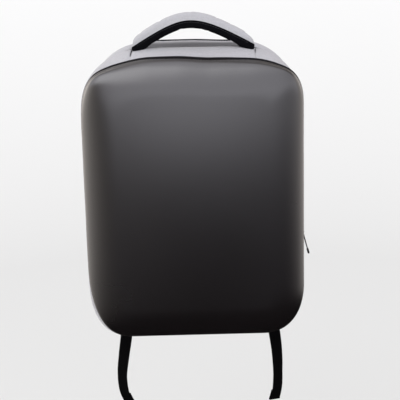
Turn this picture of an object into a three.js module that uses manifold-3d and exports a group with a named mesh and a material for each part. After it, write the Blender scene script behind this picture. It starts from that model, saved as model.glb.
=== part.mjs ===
// A slim cycling backpack: a moulded front panel, a soft cloth body, an arched handle and hanging webbing.
// Millimetres. x runs to the right seen from the front, y to the back and z up.
// Sections are measured from the middle of the front seam; the whole bag is then hung from its handle.
import * as THREE from 'three';
import { mergeVertices } from 'three/addons/utils/BufferGeometryUtils.js';
import Module from 'manifold-3d';

const wasm = await Module();
wasm.setup();

// Fits and walls
const GAP = 0.3;
const CLOTH = 2;
const MERGE = 1e-4;

// Depths behind the front seam
const PIPING_RADIUS = 1.6;
const PIPING_INSET = 1.1;
const GUSSET_FRONT = 2 * PIPING_RADIUS + 2 * GAP;
const ZIP_FRONT = 60;
const ZIP_REAR = 82;
const REAR_SEAM = 108;
const BACK_PANEL_FRONT = REAR_SEAM + 2 * PIPING_RADIUS + 2 * GAP;
const BACK_PANEL_THICKNESS = 9;
const BACK_PANEL_REAR = BACK_PANEL_FRONT + BACK_PANEL_THICKNESS;
const BACK_PANEL_COLUMNS = ['inset', 'behind'];
const BACK_PANEL_EDGE = [
  [1, 0],
  [0.5, 4],
  [4, 7.5],
  [9, BACK_PANEL_THICKNESS],
];

// Places round the outline
const SEAM_MIDDLE = 3;
const SEAM_HALF_SPAN = 85;
const ZIP_END_Z = -74;
const SIDE_MIDDLE_Z = 15;
const RIGHT_FOOT = { width: 58, height: 73, power: 2.25 };
const LEFT_SHOULDER_EXTRA = { width: 12, height: 40, power: 1 };
const TAPER = 5e-5;
const WAIST_SPAN = 150;

// Steps round the outline
const TOP_STEPS = 5;
const SHOULDER_STEPS = 8;
const FOOT_STEPS = 8;
const PIPING_SIDES = 6;
const ROUND_SIDES = 8;

// The body's sections from front to back: a rounded outline with its own shoulders.
// shift moves the middle to the right, waist is how far the sides pull in at mid height, and shoulderLean
// is how much of the left shoulder's extra rounding the section has. The left foot is the lower left corner.
const SECTION_COLUMNS = [
  'y', 'shift', 'half', 'top', 'base', 'waist', 'leftFootW', 'leftFootH', 'leftFootPower', 'shoulderLean',
  'shoulderW', 'shoulderH', 'power',
];
const SECTIONS = [
  [0, 0, 150, 195.8, -195.8, 0, 61, 118, 2.58, 1, 135, 68, 3.05],
  [4, -0.3, 150.6, 196.8, -197.5, 0.5, 63, 118, 2.65, 0.9, 130, 70, 2.95],
  [9, -0.7, 151.6, 198.4, -200.5, 1.5, 72, 118, 3, 0.8, 122, 74, 2.8],
  [24, -0.2, 152.5, 202.4, -202, 2, 72, 118, 3, 0.5, 104, 82, 2.5],
  [42, 0.8, 153, 206.5, -202, 2, 71, 113, 2.9, 0.15, 92, 87, 2.15],
  [60, 1, 152.8, 204.2, -202, 2, 69, 100, 2.7, 0, 88, 88, 2],
  [71, 1, 152.5, 203.4, -202, 2, 66, 91, 2.55, 0, 88, 88, 2],
  [82, 1.2, 152.5, 203.8, -202, 2, 64, 86, 2.45, 0, 88, 88, 2],
  [92, 1.5, 152, 208.8, -202, 2, 62, 82, 2.4, 0, 87, 90, 2],
  [103, 1.5, 150, 211.2, -200.5, 2, 60, 77, 2.3, 0, 86, 92, 1.95],
  [108, 1.5, 147.5, 211.8, -197.5, 2, 58, 73, 2.25, 0, 88, 94, 1.8],
];

// The front panel's wall from its rim to its middle: inset from the outline, shrink towards the middle, depth
const SHELL_COLUMNS = ['inset', 'shrink', 'depth'];
const SHELL_PROFILE = [
  [0, 1, 0],
  [1.5, 1, 6],
  [5, 1, 12],
  [11, 1, 17.5],
  [20, 1, 22],
  [32, 1, 25],
  [48, 1, 27],
  [48, 0.62, 29],
  [48, 0.3, 30],
  [48, 0, 30.3],
];

// Handle: a round crown with straighter flanks, in two padded layers. The crown leans to the left of the
// handle's middle, and the upper layer thins towards its right end.
const HANDLE_X = 2;
const HANDLE_Y = 45;
const HANDLE_LEAN = -2.5;
const HANDLE_CROWN_Z = 242.6;
const HANDLE_LEFT_SLOPE = 0.685;
const HANDLE_RIGHT_SLOPE = 0.62;
const HANDLE_CROWN_RADIUS = 26;
const HANDLE_REACH = 98;
const HANDLE_HALF_SPAN = 84;
const HANDLE_STEPS = 22;
const HANDLE_UPPER_WIDTH = 30;
const HANDLE_UPPER_THICKNESS = 10;
const HANDLE_UPPER_THINNING = 2;
const HANDLE_LOWER_WIDTH = 27;
const HANDLE_LOWER_THICKNESS = 10.6;
const HANG_POINT = [HANDLE_X, HANDLE_Y, HANDLE_CROWN_Z - HANDLE_LOWER_THICKNESS];

// Rounded edge of a padded layer: share of the half width and share of the thickness
const PADDED_COLUMNS = ['across', 'rise'];
const PADDED_EDGE = [
  [1, 0.55],
  [0.8, 0.9],
  [0.4, 1],
];

// Zip on the right side
const COIL_HEIGHT = 1.2;
const COIL_WIDTH = 4.6;
const ZIP_MIDDLE = (ZIP_FRONT + ZIP_REAR) / 2;
const PIN_Z = -68;
const PIN_RADIUS = 0.8;
const PIN_HEIGHT = 2.5;
const SLIDER_BASE = 1.6;
const SLIDER_WIDTH = 8;
const SLIDER_LENGTH = 11;
const EYE_WIDTH = 4;
const EYE_RADIUS = 2.1;
const EYE_CLEARANCE = 0.35;
const POST_THICKNESS = 1.2;
const POST_DEPTH = 2.2;
const PULL_SHANK = 1.8;
const PULL_TIP = 3.4;
const PULL_TIP_START = 27.5;
const PULL_TIP_TAPER = 1.5;
const PULL_LENGTH = 35;
const PULL_TILT = THREE.MathUtils.degToRad(15);

// Shoulder straps, right side: middle of the strap and its width
const STRAP_THICKNESS = 12;
const STRAP_EDGE = 4;
const STRAP_STEPS = 24;
const STRAP_SEAT = BACK_PANEL_REAR + GAP + STRAP_THICKNESS / 2;
const STRAP_LIFT = 1.6;
const STRAP_COLUMNS = ['x', 'y', 'z', 'width'];
const STRAP_ROWS = [
  [50, STRAP_SEAT, 190, 58],
  [51, STRAP_SEAT + STRAP_LIFT, 170, 60],
  [54, 137, 146, 62],
  [60, 158, 110, 62],
  [68, 176, 64, 60],
  [76, 185, 14, 57],
  [84, 184, -32, 50],
  [92, 172, -68, 38],
  [98, 160, -94, 30],
];

// Locks at the straps' lower ends
const LOCK_WIDTH = 30;
const LOCK_LENGTH = 19;
const LOCK_THICKNESS = 5;
const LOCK_SIDE = 3.6;
const LOCK_TOP_BAR = 4.5;
const LOCK_LOWER_BAR = 6;

// Webbing: a sewn foot on the back panel, a turn through the lock, and a free tail.
// left and right are how far out the tail hangs on that side, and turn is its twist in degrees.
const WEBBING_WIDTH = 20;
const WEBBING_THICKNESS = 1.4;
const SEWN_COLUMNS = ['x', 'lift', 'z'];
const SEWN_ROWS = [
  [116, 0, -184],
  [116, 0, -166],
  [115, 2.5, -154],
];
const TAIL_COLUMNS = ['z', 'y', 'left', 'right', 'turn'];
const TAIL_ROWS = [
  [-152, 158, 104, 106, 5],
  [-204, 152, 108, 114, 14],
  [-256, 143, 114.6, 123, 22],
  [-288, 140, 119.6, 126.7, 30],
  [-322, 139, 123.6, 128, 38],
  [-352, 140, 121.2, 127, 34],
  [-372, 142, 114, 123, 28],
];
const TAIL_STEPS = 16;
const TURN_LEAD = 4;
const TURN_ENTRY = 2;
const TURN_SHOULDER = 0.9;
const TURN_TUCK = 0.2;
const TURN_OVER = 0.8;
const TURN_HALF = 1.4;
const TURN_SLACK = 0.1;

// Finishes
const PANEL_FINISH = { color: 0x3a393a, roughness: 0.42, metalness: 0 };
const GREY_CLOTH = { color: 0xbcbbc0, roughness: 0.85, metalness: 0 };
const ZIP_CLOTH = { color: 0x77777a, roughness: 0.88, metalness: 0 };
const BLACK_CLOTH = { color: 0x121216, roughness: 0.9, metalness: 0 };
const BLACK_WEBBING = { color: 0x0b0b0e, roughness: 0.85, metalness: 0 };
const BLACK_PLASTIC = { color: 0x16161a, roughness: 0.5, metalness: 0 };
const DARK_METAL = { color: 0x2c2c30, roughness: 0.4, metalness: 0.8 };

// Tables and sections

function namedRows(columns, rows) {
  return rows.map((row) => Object.fromEntries(columns.map((name, i) => [name, row[i]])));
}

const sections = namedRows(SECTION_COLUMNS, SECTIONS);

function sectionAt(y) {
  const next = Math.max(1, sections.findIndex((row) => row.y >= y));
  const [before, after] = [sections[next - 1], sections[next]];
  const share = (y - before.y) / (after.y - before.y);
  const blended = {};
  for (const name of SECTION_COLUMNS) {
    blended[name] = before[name] + share * (after[name] - before[name]);
  }
  return blended;
}

// A quarter of a superellipse, from its side at angle 0 to its top at a right angle
function cornerPoint({ width, height, power }, angle) {
  const exponent = 2 / power;
  return [width * Math.cos(angle) ** exponent, height * Math.max(0, Math.sin(angle)) ** exponent];
}

// Stations of the outline, counted from the right seam over the top and down the left side
const LEFT_SEAM = 2 * TOP_STEPS + 2;
const LEFT_ZIP_END = LEFT_SEAM + SHOULDER_STEPS + 2;
const RIGHT_ZIP_END = LEFT_ZIP_END + 2 * (FOOT_STEPS + 1) + 2;
const STATIONS = RIGHT_ZIP_END + SHOULDER_STEPS + 2;

function outline(section, { inset = 0, seamHalf = SEAM_HALF_SPAN, zipEndZ = ZIP_END_Z } = {}) {
  const half = section.half - inset;
  const top = section.top - inset;
  const base = section.base + inset;
  const quarter = Math.PI / 2;
  const shoulders = [-1, 1].map((side) => {
    const lean = side < 0 ? section.shoulderLean : 0;
    const width = section.shoulderW + lean * LEFT_SHOULDER_EXTRA.width - inset;
    const height = section.shoulderH + lean * LEFT_SHOULDER_EXTRA.height - inset;
    const power = section.power + lean * LEFT_SHOULDER_EXTRA.power;
    const seamX = (seamHalf + side * SEAM_MIDDLE) * half / section.half;
    const seamShare = (seamX - half + width) / width;
    return { side, width, height, power, seamAngle: Math.acos(seamShare ** (power / 2)) };
  });
  const feet = [-1, 1].map((side) => {
    const leftFoot = { width: section.leftFootW, height: section.leftFootH, power: section.leftFootPower };
    const { width, height, power } = side < 0 ? leftFoot : RIGHT_FOOT;
    return { side, width: width - inset, height: height - inset, power };
  });
  const points = [];
  const add = (x, z) => {
    const waist = section.waist / section.half * Math.max(0, 1 - (z / WAIST_SPAN) ** 2);
    points.push([section.shift + x * (1 - TAPER * z) * (1 - waist), z]);
  };
  const addShoulder = (shoulder, angle) => {
    const [x, z] = cornerPoint(shoulder, angle);
    add(shoulder.side * (half - shoulder.width + x), top - shoulder.height + z);
  };
  const addFoot = (foot, angle) => {
    const [x, z] = cornerPoint(foot, angle);
    add(foot.side * (half - foot.width + x), base + foot.height - z);
  };
  const crownAngle = ({ seamAngle }, k) => seamAngle + (quarter - seamAngle) * k / TOP_STEPS;
  const [leftShoulder, rightShoulder] = shoulders;
  const [leftFoot, rightFoot] = feet;
  for (let k = 0; k <= TOP_STEPS; k++) addShoulder(rightShoulder, crownAngle(rightShoulder, k));
  add(0, top);
  for (let k = TOP_STEPS; k >= 0; k--) addShoulder(leftShoulder, crownAngle(leftShoulder, k));
  for (let k = SHOULDER_STEPS - 1; k >= 0; k--) {
    addShoulder(leftShoulder, leftShoulder.seamAngle * k / SHOULDER_STEPS);
  }
  add(-half, SIDE_MIDDLE_Z);
  add(-half, zipEndZ);
  for (let k = 0; k <= FOOT_STEPS; k++) addFoot(leftFoot, quarter * k / FOOT_STEPS);
  add(0, base);
  for (let k = FOOT_STEPS; k >= 0; k--) addFoot(rightFoot, quarter * k / FOOT_STEPS);
  add(half, zipEndZ);
  add(half, SIDE_MIDDLE_Z);
  for (let k = 0; k < SHOULDER_STEPS; k++) {
    addShoulder(rightShoulder, rightShoulder.seamAngle * k / SHOULDER_STEPS);
  }
  return points;
}

function sideX(section, z) {
  const waist = section.waist * Math.max(0, 1 - (z / WAIST_SPAN) ** 2);
  return section.shift + section.half * (1 - TAPER * z) - waist;
}

// Solids

function solidGeometry(positions, triangles) {
  const raw = new THREE.BufferGeometry();
  raw.setAttribute('position', new THREE.Float32BufferAttribute(positions, 3));
  raw.setIndex(triangles);
  const geometry = mergeVertices(raw, MERGE);
  const old = geometry.index.array;
  const place = geometry.attributes.position;
  const corner = [new THREE.Vector3(), new THREE.Vector3(), new THREE.Vector3()];
  const kept = [];
  let volume = 0;
  for (let k = 0; k < old.length; k += 3) {
    const [a, b, c] = [old[k], old[k + 1], old[k + 2]];
    if (a === b || b === c || c === a) continue;
    kept.push(a, b, c);
    corner.forEach((point, i) => point.fromBufferAttribute(place, [a, b, c][i]));
    volume += corner[0].dot(corner[1].cross(corner[2]));
  }
  if (volume < 0) kept.reverse();
  geometry.setIndex(kept);
  return geometry;
}

// Joins loops of points that follow each other. A loop lists its outer row, then its inner row backwards,
// so an open skin is capped by joining the two rows.
function skin(loops, closed) {
  const count = loops[0].length;
  const triangles = [];
  const quad = (a, b, c, d) => triangles.push(a, b, c, a, c, d);
  const steps = closed ? loops.length : loops.length - 1;
  for (let i = 0; i < steps; i++) {
    const row = i * count;
    const next = ((i + 1) % loops.length) * count;
    for (let j = 0; j < count; j++) {
      const after = (j + 1) % count;
      quad(row + j, row + after, next + after, next + j);
    }
  }
  if (!closed) {
    const end = steps * count;
    for (let k = 0; k < count / 2 - 1; k++) {
      quad(count - 1 - k, count - 2 - k, k + 1, k);
      quad(end + k, end + k + 1, end + count - 2 - k, end + count - 1 - k);
    }
  }
  return solidGeometry(loops.flat(2), triangles);
}

function manifoldOf(geometry) {
  const bare = geometry.clone();
  bare.deleteAttribute('normal');
  bare.deleteAttribute('uv');
  const merged = mergeVertices(bare, MERGE);
  const vertProperties = new Float32Array(merged.attributes.position.array);
  const triVerts = new Uint32Array(merged.index.array);
  return new wasm.Manifold(new wasm.Mesh({ numProp: 3, vertProperties, triVerts }));
}

function geometryOf(solid) {
  const mesh = solid.getMesh();
  return solidGeometry(Array.from(mesh.vertProperties), Array.from(mesh.triVerts));
}

function piece(name, geometry, finish) {
  const mesh = new THREE.Mesh(geometry, new THREE.MeshStandardMaterial(finish));
  mesh.name = name;
  return mesh;
}

// Body

function stationRange(from, to) {
  const count = (to - from + STATIONS) % STATIONS;
  return Array.from({ length: count + 1 }, (_, k) => (from + k) % STATIONS);
}

const ALL_STATIONS = Array.from({ length: STATIONS }, (_, k) => k);

// A wall that follows the outline over some depths, between two insets, for some or all stations
function wall(depths, outerInset, innerInset, stations, places = {}) {
  const rows = depths.map((y) => {
    const section = sectionAt(y);
    const outer = outline(section, { ...places, inset: outerInset }).map(([x, z]) => [x, y, z]);
    const inner = outline(section, { ...places, inset: innerInset }).map(([x, z]) => [x, y, z]);
    return { outer, inner };
  });
  const loops = stations.map((i) => [
    ...rows.map((row) => row.outer[i]),
    ...rows.map((row) => row.inner[i]).reverse(),
  ]);
  return skin(loops, stations.length === STATIONS);
}

function depthsBetween(from, to) {
  return [from, ...sections.map((row) => row.y).filter((y) => y > from && y < to), to];
}

const FRONT_DEPTHS = depthsBetween(GUSSET_FRONT, ZIP_FRONT);
const ZIP_DEPTHS = depthsBetween(ZIP_FRONT + GAP, ZIP_REAR - GAP);
const REAR_DEPTHS = depthsBetween(ZIP_REAR, REAR_SEAM);

function shellRing({ inset, shrink, depth }) {
  return outline(sections[0], { inset }).map(([x, z]) => [x * shrink, -depth, z * shrink]);
}

// The inner face of the front panel lies one wall inside the outer one, square to the profile
function innerProfile(rows) {
  return rows.map((row, k) => {
    const before = rows[Math.max(0, k - 1)];
    const after = rows[Math.min(rows.length - 1, k + 1)];
    const across = after.inset - before.inset;
    const down = after.depth - before.depth;
    const length = Math.hypot(across, down) || 1;
    if (row.depth === 0) return { ...row, inset: row.inset + CLOTH };
    const inset = row.inset + CLOTH * down / length * (row.shrink === 1 && across > 0 ? 1 : 0);
    const step = across > 0 ? across / length : 1;
    return { ...row, inset, depth: row.depth - CLOTH * step };
  });
}

function frontShell() {
  const profile = namedRows(SHELL_COLUMNS, SHELL_PROFILE);
  const outer = profile.map(shellRing);
  const inner = innerProfile(profile).map(shellRing).reverse();
  const loops = ALL_STATIONS.map((i) => [...outer.map((ring) => ring[i]), ...inner.map((ring) => ring[i])]);
  return skin(loops, true);
}

// Round piping along a section's outline, sunk a little inside it
function piping(section, middleY) {
  const middle = outline(section, { inset: PIPING_INSET });
  const outer = outline(section, { inset: PIPING_INSET - PIPING_RADIUS });
  const loops = middle.map(([x, z], i) => {
    const out = new THREE.Vector2(outer[i][0] - x, outer[i][1] - z).normalize();
    return Array.from({ length: PIPING_SIDES }, (_, k) => {
      const angle = 2 * Math.PI * k / PIPING_SIDES;
      const away = PIPING_RADIUS * Math.cos(angle);
      return [x + out.x * away, middleY + PIPING_RADIUS * Math.sin(angle), z + out.y * away];
    });
  });
  return skin(loops, true);
}

// A full plate or block between two depths, with its edges drawn in
function filled(rings) {
  const middle = ([ring]) => [0, ring[1], 0];
  const first = middle(rings[0]);
  const last = middle(rings[rings.length - 1]);
  const loops = ALL_STATIONS.map((i) => [first, ...rings.map((ring) => ring[i]), last]);
  return skin(loops, true);
}

function backPanel() {
  const section = sectionAt(REAR_SEAM);
  const rings = namedRows(BACK_PANEL_COLUMNS, BACK_PANEL_EDGE).map(({ inset, behind }) => {
    return outline(section, { inset }).map(([x, z]) => [x, BACK_PANEL_FRONT + behind, z]);
  });
  return filled(rings);
}

// The body's outer form, a little grown, which the handle is fitted to
function fittingForm() {
  const depths = depthsBetween(GUSSET_FRONT, REAR_SEAM);
  const rings = depths.map((y) => outline(sectionAt(y), { inset: -GAP }).map(([x, z]) => [x, y, z]));
  return filled(rings);
}

// Bands along a path: a point, a width direction and a section of (across, outward) points for each step
function ribbon(steps) {
  const loops = steps.map(({ point, section, across }, i) => {
    const before = steps[Math.max(0, i - 1)].point;
    const after = steps[Math.min(steps.length - 1, i + 1)].point;
    const along = after.clone().sub(before).normalize();
    const wide = across.clone().addScaledVector(along, -across.dot(along)).normalize();
    const outward = wide.clone().cross(along);
    return section.map(([w, n]) => point.clone().addScaledVector(wide, w).addScaledVector(outward, n).toArray());
  });
  return skin(loops, false);
}

// Handle

function handleHeight(x) {
  const fromCrown = x - HANDLE_LEAN;
  const flank = fromCrown * (fromCrown < 0 ? HANDLE_LEFT_SLOPE : HANDLE_RIGHT_SLOPE);
  return HANDLE_CROWN_Z - (Math.hypot(HANDLE_CROWN_RADIUS, flank) - HANDLE_CROWN_RADIUS);
}

// sectionAtX gives the layer's section at a distance from the handle's middle
function handleLayer(sectionAtX, form) {
  const across = new THREE.Vector3(0, 1, 0);
  const steps = Array.from({ length: HANDLE_STEPS + 1 }, (_, k) => {
    const x = HANDLE_REACH * (2 * k / HANDLE_STEPS - 1);
    return { point: new THREE.Vector3(HANDLE_X + x, HANDLE_Y, handleHeight(x)), across, section: sectionAtX(x) };
  });
  const span = new THREE.BoxGeometry(2 * HANDLE_HALF_SPAN, 2 * HANDLE_UPPER_WIDTH, 2 * HANDLE_REACH);
  span.translate(HANDLE_X, HANDLE_Y, HANDLE_CROWN_Z);
  return geometryOf(manifoldOf(ribbon(steps)).intersect(manifoldOf(span)).subtract(manifoldOf(form)));
}

// A padded section: flat at one height, rounded off at the other
function paddedSection(width, flat, crest) {
  const edge = width / 2;
  const rise = crest - flat;
  const rows = namedRows(PADDED_COLUMNS, PADDED_EDGE);
  const rounded = rows.map((row) => [edge * row.across, flat + rise * row.rise]);
  const mirrored = rounded.map(([w, n]) => [-w, n]).reverse();
  const seat = [...rounded, ...mirrored].map(([w]) => [w, flat]).reverse();
  return [...rounded, ...mirrored, ...seat];
}

// Straps, locks and webbing

function strapSteps(side) {
  const rows = namedRows(STRAP_COLUMNS, STRAP_ROWS);
  const curve = new THREE.CatmullRomCurve3(rows.map((row) => new THREE.Vector3(side * row.x, row.y, row.z)));
  const across = new THREE.Vector3(1, 0, 0);
  return Array.from({ length: STRAP_STEPS + 1 }, (_, k) => {
    const place = k / STRAP_STEPS * (rows.length - 1);
    const row = Math.min(rows.length - 2, Math.floor(place));
    const width = rows[row].width + (place - row) * (rows[row + 1].width - rows[row].width);
    return { point: curve.getPoint(k / STRAP_STEPS), across, section: strapSection(width) };
  });
}

function strapSection(width) {
  const edge = width / 2;
  const shoulder = edge - STRAP_EDGE;
  const face = STRAP_THICKNESS / 2;
  const rim = face - STRAP_EDGE;
  return [
    [-edge, rim], [-shoulder, face], [shoulder, face], [edge, rim],
    [edge, -rim], [shoulder, -face], [-shoulder, -face], [-edge, -rim],
  ];
}

// The lock's own directions: across the strap, along it and outward
function lockFrame(steps) {
  const end = steps[steps.length - 1].point;
  const along = end.clone().sub(steps[steps.length - 2].point).normalize();
  const across = new THREE.Vector3(1, 0, 0).addScaledVector(along, -along.x).normalize();
  const outward = across.clone().cross(along);
  const origin = end.clone().addScaledVector(along, GAP);
  const at = (down, out) => origin.clone().addScaledVector(along, down).addScaledVector(outward, out);
  return { along, across, outward, origin, at };
}

function rectangle(PathClass, halfWidth, from, to) {
  const path = new PathClass();
  path.moveTo(-halfWidth, from);
  path.lineTo(halfWidth, from);
  path.lineTo(halfWidth, to);
  path.lineTo(-halfWidth, to);
  path.closePath();
  return path;
}

function lockGeometry(frame) {
  const shape = rectangle(THREE.Shape, LOCK_WIDTH / 2, 0, LOCK_LENGTH);
  const window = [LOCK_WIDTH / 2 - LOCK_SIDE, LOCK_TOP_BAR, LOCK_LENGTH - LOCK_LOWER_BAR];
  shape.holes.push(rectangle(THREE.Path, ...window));
  const geometry = new THREE.ExtrudeGeometry(shape, { depth: LOCK_THICKNESS, bevelEnabled: false });
  geometry.translate(0, 0, -LOCK_THICKNESS / 2);
  const basis = new THREE.Matrix4().makeBasis(frame.across, frame.along, frame.outward);
  basis.setPosition(frame.origin);
  return geometry.applyMatrix4(basis);
}

function webbingSection() {
  const edge = WEBBING_WIDTH / 2;
  const face = WEBBING_THICKNESS / 2;
  return [[-edge, face], [edge, face], [edge, -face], [-edge, -face]];
}

// The turn round the lock's lower bar, from its inner side through the window to its outer side
function webbingTurn(frame) {
  const barTop = LOCK_LENGTH - LOCK_LOWER_BAR;
  const clear = LOCK_THICKNESS / 2 + GAP + WEBBING_THICKNESS / 2 + TURN_SLACK;
  const over = barTop - GAP - WEBBING_THICKNESS / 2 - TURN_OVER;
  const inner = [
    [LOCK_LENGTH + TURN_LEAD, -clear],
    [barTop + TURN_ENTRY, -clear],
    [barTop - TURN_SHOULDER, TURN_TUCK - clear],
    [over, -TURN_HALF],
  ];
  const outer = inner.map(([down, out]) => [down, -out]).reverse();
  return [...inner, ...outer].map(([down, out]) => frame.at(down, out));
}

function webbing(side, frame) {
  const section = webbingSection();
  const flat = new THREE.Vector3(1, 0, 0);
  const seat = BACK_PANEL_REAR + GAP + WEBBING_THICKNESS / 2;
  const sewn = namedRows(SEWN_COLUMNS, SEWN_ROWS);
  const foot = sewn.map((row) => new THREE.Vector3(side * row.x, seat + row.lift, row.z));
  const turn = webbingTurn(frame);
  const rows = namedRows(TAIL_COLUMNS, TAIL_ROWS);
  const sideways = side < 0 ? 'left' : 'right';
  const tail = rows.map((row) => new THREE.Vector3(side * row[sideways], row.y, row.z));
  const curve = new THREE.CatmullRomCurve3([turn[turn.length - 1], ...tail]);
  const steps = foot.map((point) => ({ point, across: flat, section }));
  turn.forEach((point) => steps.push({ point, across: frame.across, section }));
  for (let k = 1; k <= TAIL_STEPS; k++) {
    const place = k / TAIL_STEPS * rows.length;
    const row = Math.min(rows.length - 1, Math.floor(place));
    const start = row === 0 ? 0 : rows[row - 1].turn;
    const angle = THREE.MathUtils.degToRad(start + (place - row) * (rows[row].turn - start));
    const across = new THREE.Vector3(Math.cos(angle), side * Math.sin(angle), 0);
    steps.push({ point: curve.getPoint(k / TAIL_STEPS), across, section });
  }
  return ribbon(steps);
}

// Zip slider and puller, both about the pin's middle

function zipSlider() {
  const base = new THREE.BoxGeometry(SLIDER_BASE, SLIDER_WIDTH, SLIDER_LENGTH);
  base.translate(-PIN_HEIGHT - SLIDER_BASE / 2, 0, 0);
  const pin = new THREE.CylinderGeometry(PIN_RADIUS, PIN_RADIUS, EYE_WIDTH + 2 * POST_THICKNESS, ROUND_SIDES);
  let solid = manifoldOf(base).add(manifoldOf(pin));
  const postHeight = PIN_HEIGHT + SLIDER_BASE / 2 + POST_DEPTH / 2;
  for (const side of [-1, 1]) {
    const post = new THREE.BoxGeometry(postHeight, POST_THICKNESS, POST_DEPTH);
    const away = EYE_WIDTH / 2 + GAP + POST_THICKNESS / 2;
    post.translate(POST_DEPTH / 2 - postHeight / 2, side * away, 0);
    solid = solid.add(manifoldOf(post));
  }
  return geometryOf(solid);
}

function zipPull() {
  const shape = new THREE.Shape();
  const open = Math.asin(PULL_SHANK / 2 / EYE_RADIUS);
  shape.absarc(0, 0, EYE_RADIUS, -Math.PI / 2 + open, 1.5 * Math.PI - open, false);
  shape.lineTo(-PULL_SHANK / 2, -PULL_TIP_START);
  shape.lineTo(-PULL_TIP / 2, -PULL_TIP_START - PULL_TIP_TAPER);
  shape.absarc(0, -PULL_LENGTH + PULL_TIP / 2, PULL_TIP / 2, Math.PI, 2 * Math.PI, false);
  shape.lineTo(PULL_TIP / 2, -PULL_TIP_START - PULL_TIP_TAPER);
  shape.lineTo(PULL_SHANK / 2, -PULL_TIP_START);
  shape.closePath();
  const eye = new THREE.Path();
  eye.absarc(0, 0, PIN_RADIUS + EYE_CLEARANCE, 0, 2 * Math.PI, true);
  shape.holes.push(eye);
  const options = { depth: EYE_WIDTH, bevelEnabled: false, curveSegments: ROUND_SIDES };
  const geometry = new THREE.ExtrudeGeometry(shape, options);
  geometry.translate(0, 0, -EYE_WIDTH / 2);
  return geometry.rotateX(Math.PI / 2);
}

// Assembly

const bag = new THREE.Group();
bag.position.set(-HANG_POINT[0], -HANG_POINT[1], -HANG_POINT[2]);

bag.add(piece('front_shell', frontShell(), PANEL_FINISH));
bag.add(piece('front_piping', piping(sections[0], PIPING_RADIUS + GAP), BLACK_PLASTIC));

const topStations = stationRange(0, LEFT_SEAM);
const gussetStations = stationRange(LEFT_SEAM, 0);
const zipStations = stationRange(RIGHT_ZIP_END, LEFT_ZIP_END);
const baseStations = stationRange(LEFT_ZIP_END, RIGHT_ZIP_END);
const stripEnds = { seamHalf: SEAM_HALF_SPAN - GAP / 2 };
const shoulderEnds = { seamHalf: SEAM_HALF_SPAN + GAP / 2 };
const baseEnds = { zipEndZ: ZIP_END_Z - GAP };
const coilDepths = [ZIP_MIDDLE - COIL_WIDTH / 2, ZIP_MIDDLE + COIL_WIDTH / 2];

bag.add(piece('top_strip', wall(FRONT_DEPTHS, 0, CLOTH, topStations, stripEnds), GREY_CLOTH));
bag.add(piece('front_gusset', wall(FRONT_DEPTHS, 0, CLOTH, gussetStations, shoulderEnds), GREY_CLOTH));
bag.add(piece('zip_tape', wall(ZIP_DEPTHS, 0, CLOTH, zipStations), ZIP_CLOTH));
bag.add(piece('base_strip', wall(ZIP_DEPTHS, 0, CLOTH, baseStations, baseEnds), GREY_CLOTH));
bag.add(piece('zip_coil', wall(coilDepths, -GAP - COIL_HEIGHT, -GAP, zipStations), BLACK_PLASTIC));
bag.add(piece('rear_gusset', wall(REAR_DEPTHS, 0, CLOTH, ALL_STATIONS), GREY_CLOTH));

const rearPipingY = REAR_SEAM + GAP + PIPING_RADIUS;
bag.add(piece('rear_piping', piping(sectionAt(REAR_SEAM), rearPipingY), BLACK_PLASTIC));
bag.add(piece('back_panel', backPanel(), BLACK_CLOTH));

const form = fittingForm();
const upperSection = (x) => {
  const thinning = HANDLE_UPPER_THINNING * Math.max(0, x) / HANDLE_HALF_SPAN;
  return paddedSection(HANDLE_UPPER_WIDTH, -GAP / 2, thinning - HANDLE_UPPER_THICKNESS);
};
const lowerSection = () => paddedSection(HANDLE_LOWER_WIDTH, GAP / 2, HANDLE_LOWER_THICKNESS);
bag.add(piece('handle_upper', handleLayer(upperSection, form), GREY_CLOTH));
bag.add(piece('handle_lower', handleLayer(lowerSection, form), BLACK_CLOTH));

for (const [label, side] of [['left', -1], ['right', 1]]) {
  const steps = strapSteps(side);
  const frame = lockFrame(steps);
  bag.add(piece(`strap_${label}`, ribbon(steps), BLACK_CLOTH));
  bag.add(piece(`lock_${label}`, lockGeometry(frame), BLACK_PLASTIC));
  bag.add(piece(`webbing_${label}`, webbing(side, frame), BLACK_WEBBING));
}

const zip = new THREE.Group();
const coilTop = sideX(sectionAt(ZIP_MIDDLE), PIN_Z) + 2 * GAP + COIL_HEIGHT;
zip.position.set(coilTop + SLIDER_BASE + PIN_HEIGHT, ZIP_MIDDLE, PIN_Z);
zip.add(piece('zip_slider', zipSlider(), DARK_METAL));
const pull = piece('zip_pull', zipPull(), BLACK_PLASTIC);
pull.rotation.y = -PULL_TILT;
zip.add(pull);
bag.add(zip);

export default bag;
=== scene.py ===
"""A slim cycling backpack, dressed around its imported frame.

Sizes are millimetres in the bag's own axes, as in the part's source: x to the right seen from the front,
y to the back and z up, from the middle of the front seam. place() turns them into the frame's metres.
"""
import collections
import functools
import math

import bmesh
import bpy
import numpy as np
from mathutils import Matrix, Vector, noise


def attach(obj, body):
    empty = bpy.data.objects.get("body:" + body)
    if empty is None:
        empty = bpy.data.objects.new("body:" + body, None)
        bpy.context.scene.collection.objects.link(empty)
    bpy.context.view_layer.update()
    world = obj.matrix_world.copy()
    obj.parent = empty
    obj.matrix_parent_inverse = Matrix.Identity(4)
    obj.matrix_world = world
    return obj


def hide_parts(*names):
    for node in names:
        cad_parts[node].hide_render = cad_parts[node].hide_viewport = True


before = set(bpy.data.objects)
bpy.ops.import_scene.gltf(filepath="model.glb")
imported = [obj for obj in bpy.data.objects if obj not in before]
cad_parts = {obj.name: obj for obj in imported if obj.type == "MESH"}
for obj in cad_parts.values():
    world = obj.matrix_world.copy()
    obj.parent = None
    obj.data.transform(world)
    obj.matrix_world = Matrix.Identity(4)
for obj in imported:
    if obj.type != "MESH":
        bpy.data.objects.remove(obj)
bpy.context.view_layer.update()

MM = 0.001
HANG_POINT = np.array([2.0, 45.0, 232.0])
X_AXIS = np.array([1.0, 0.0, 0.0])
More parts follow.
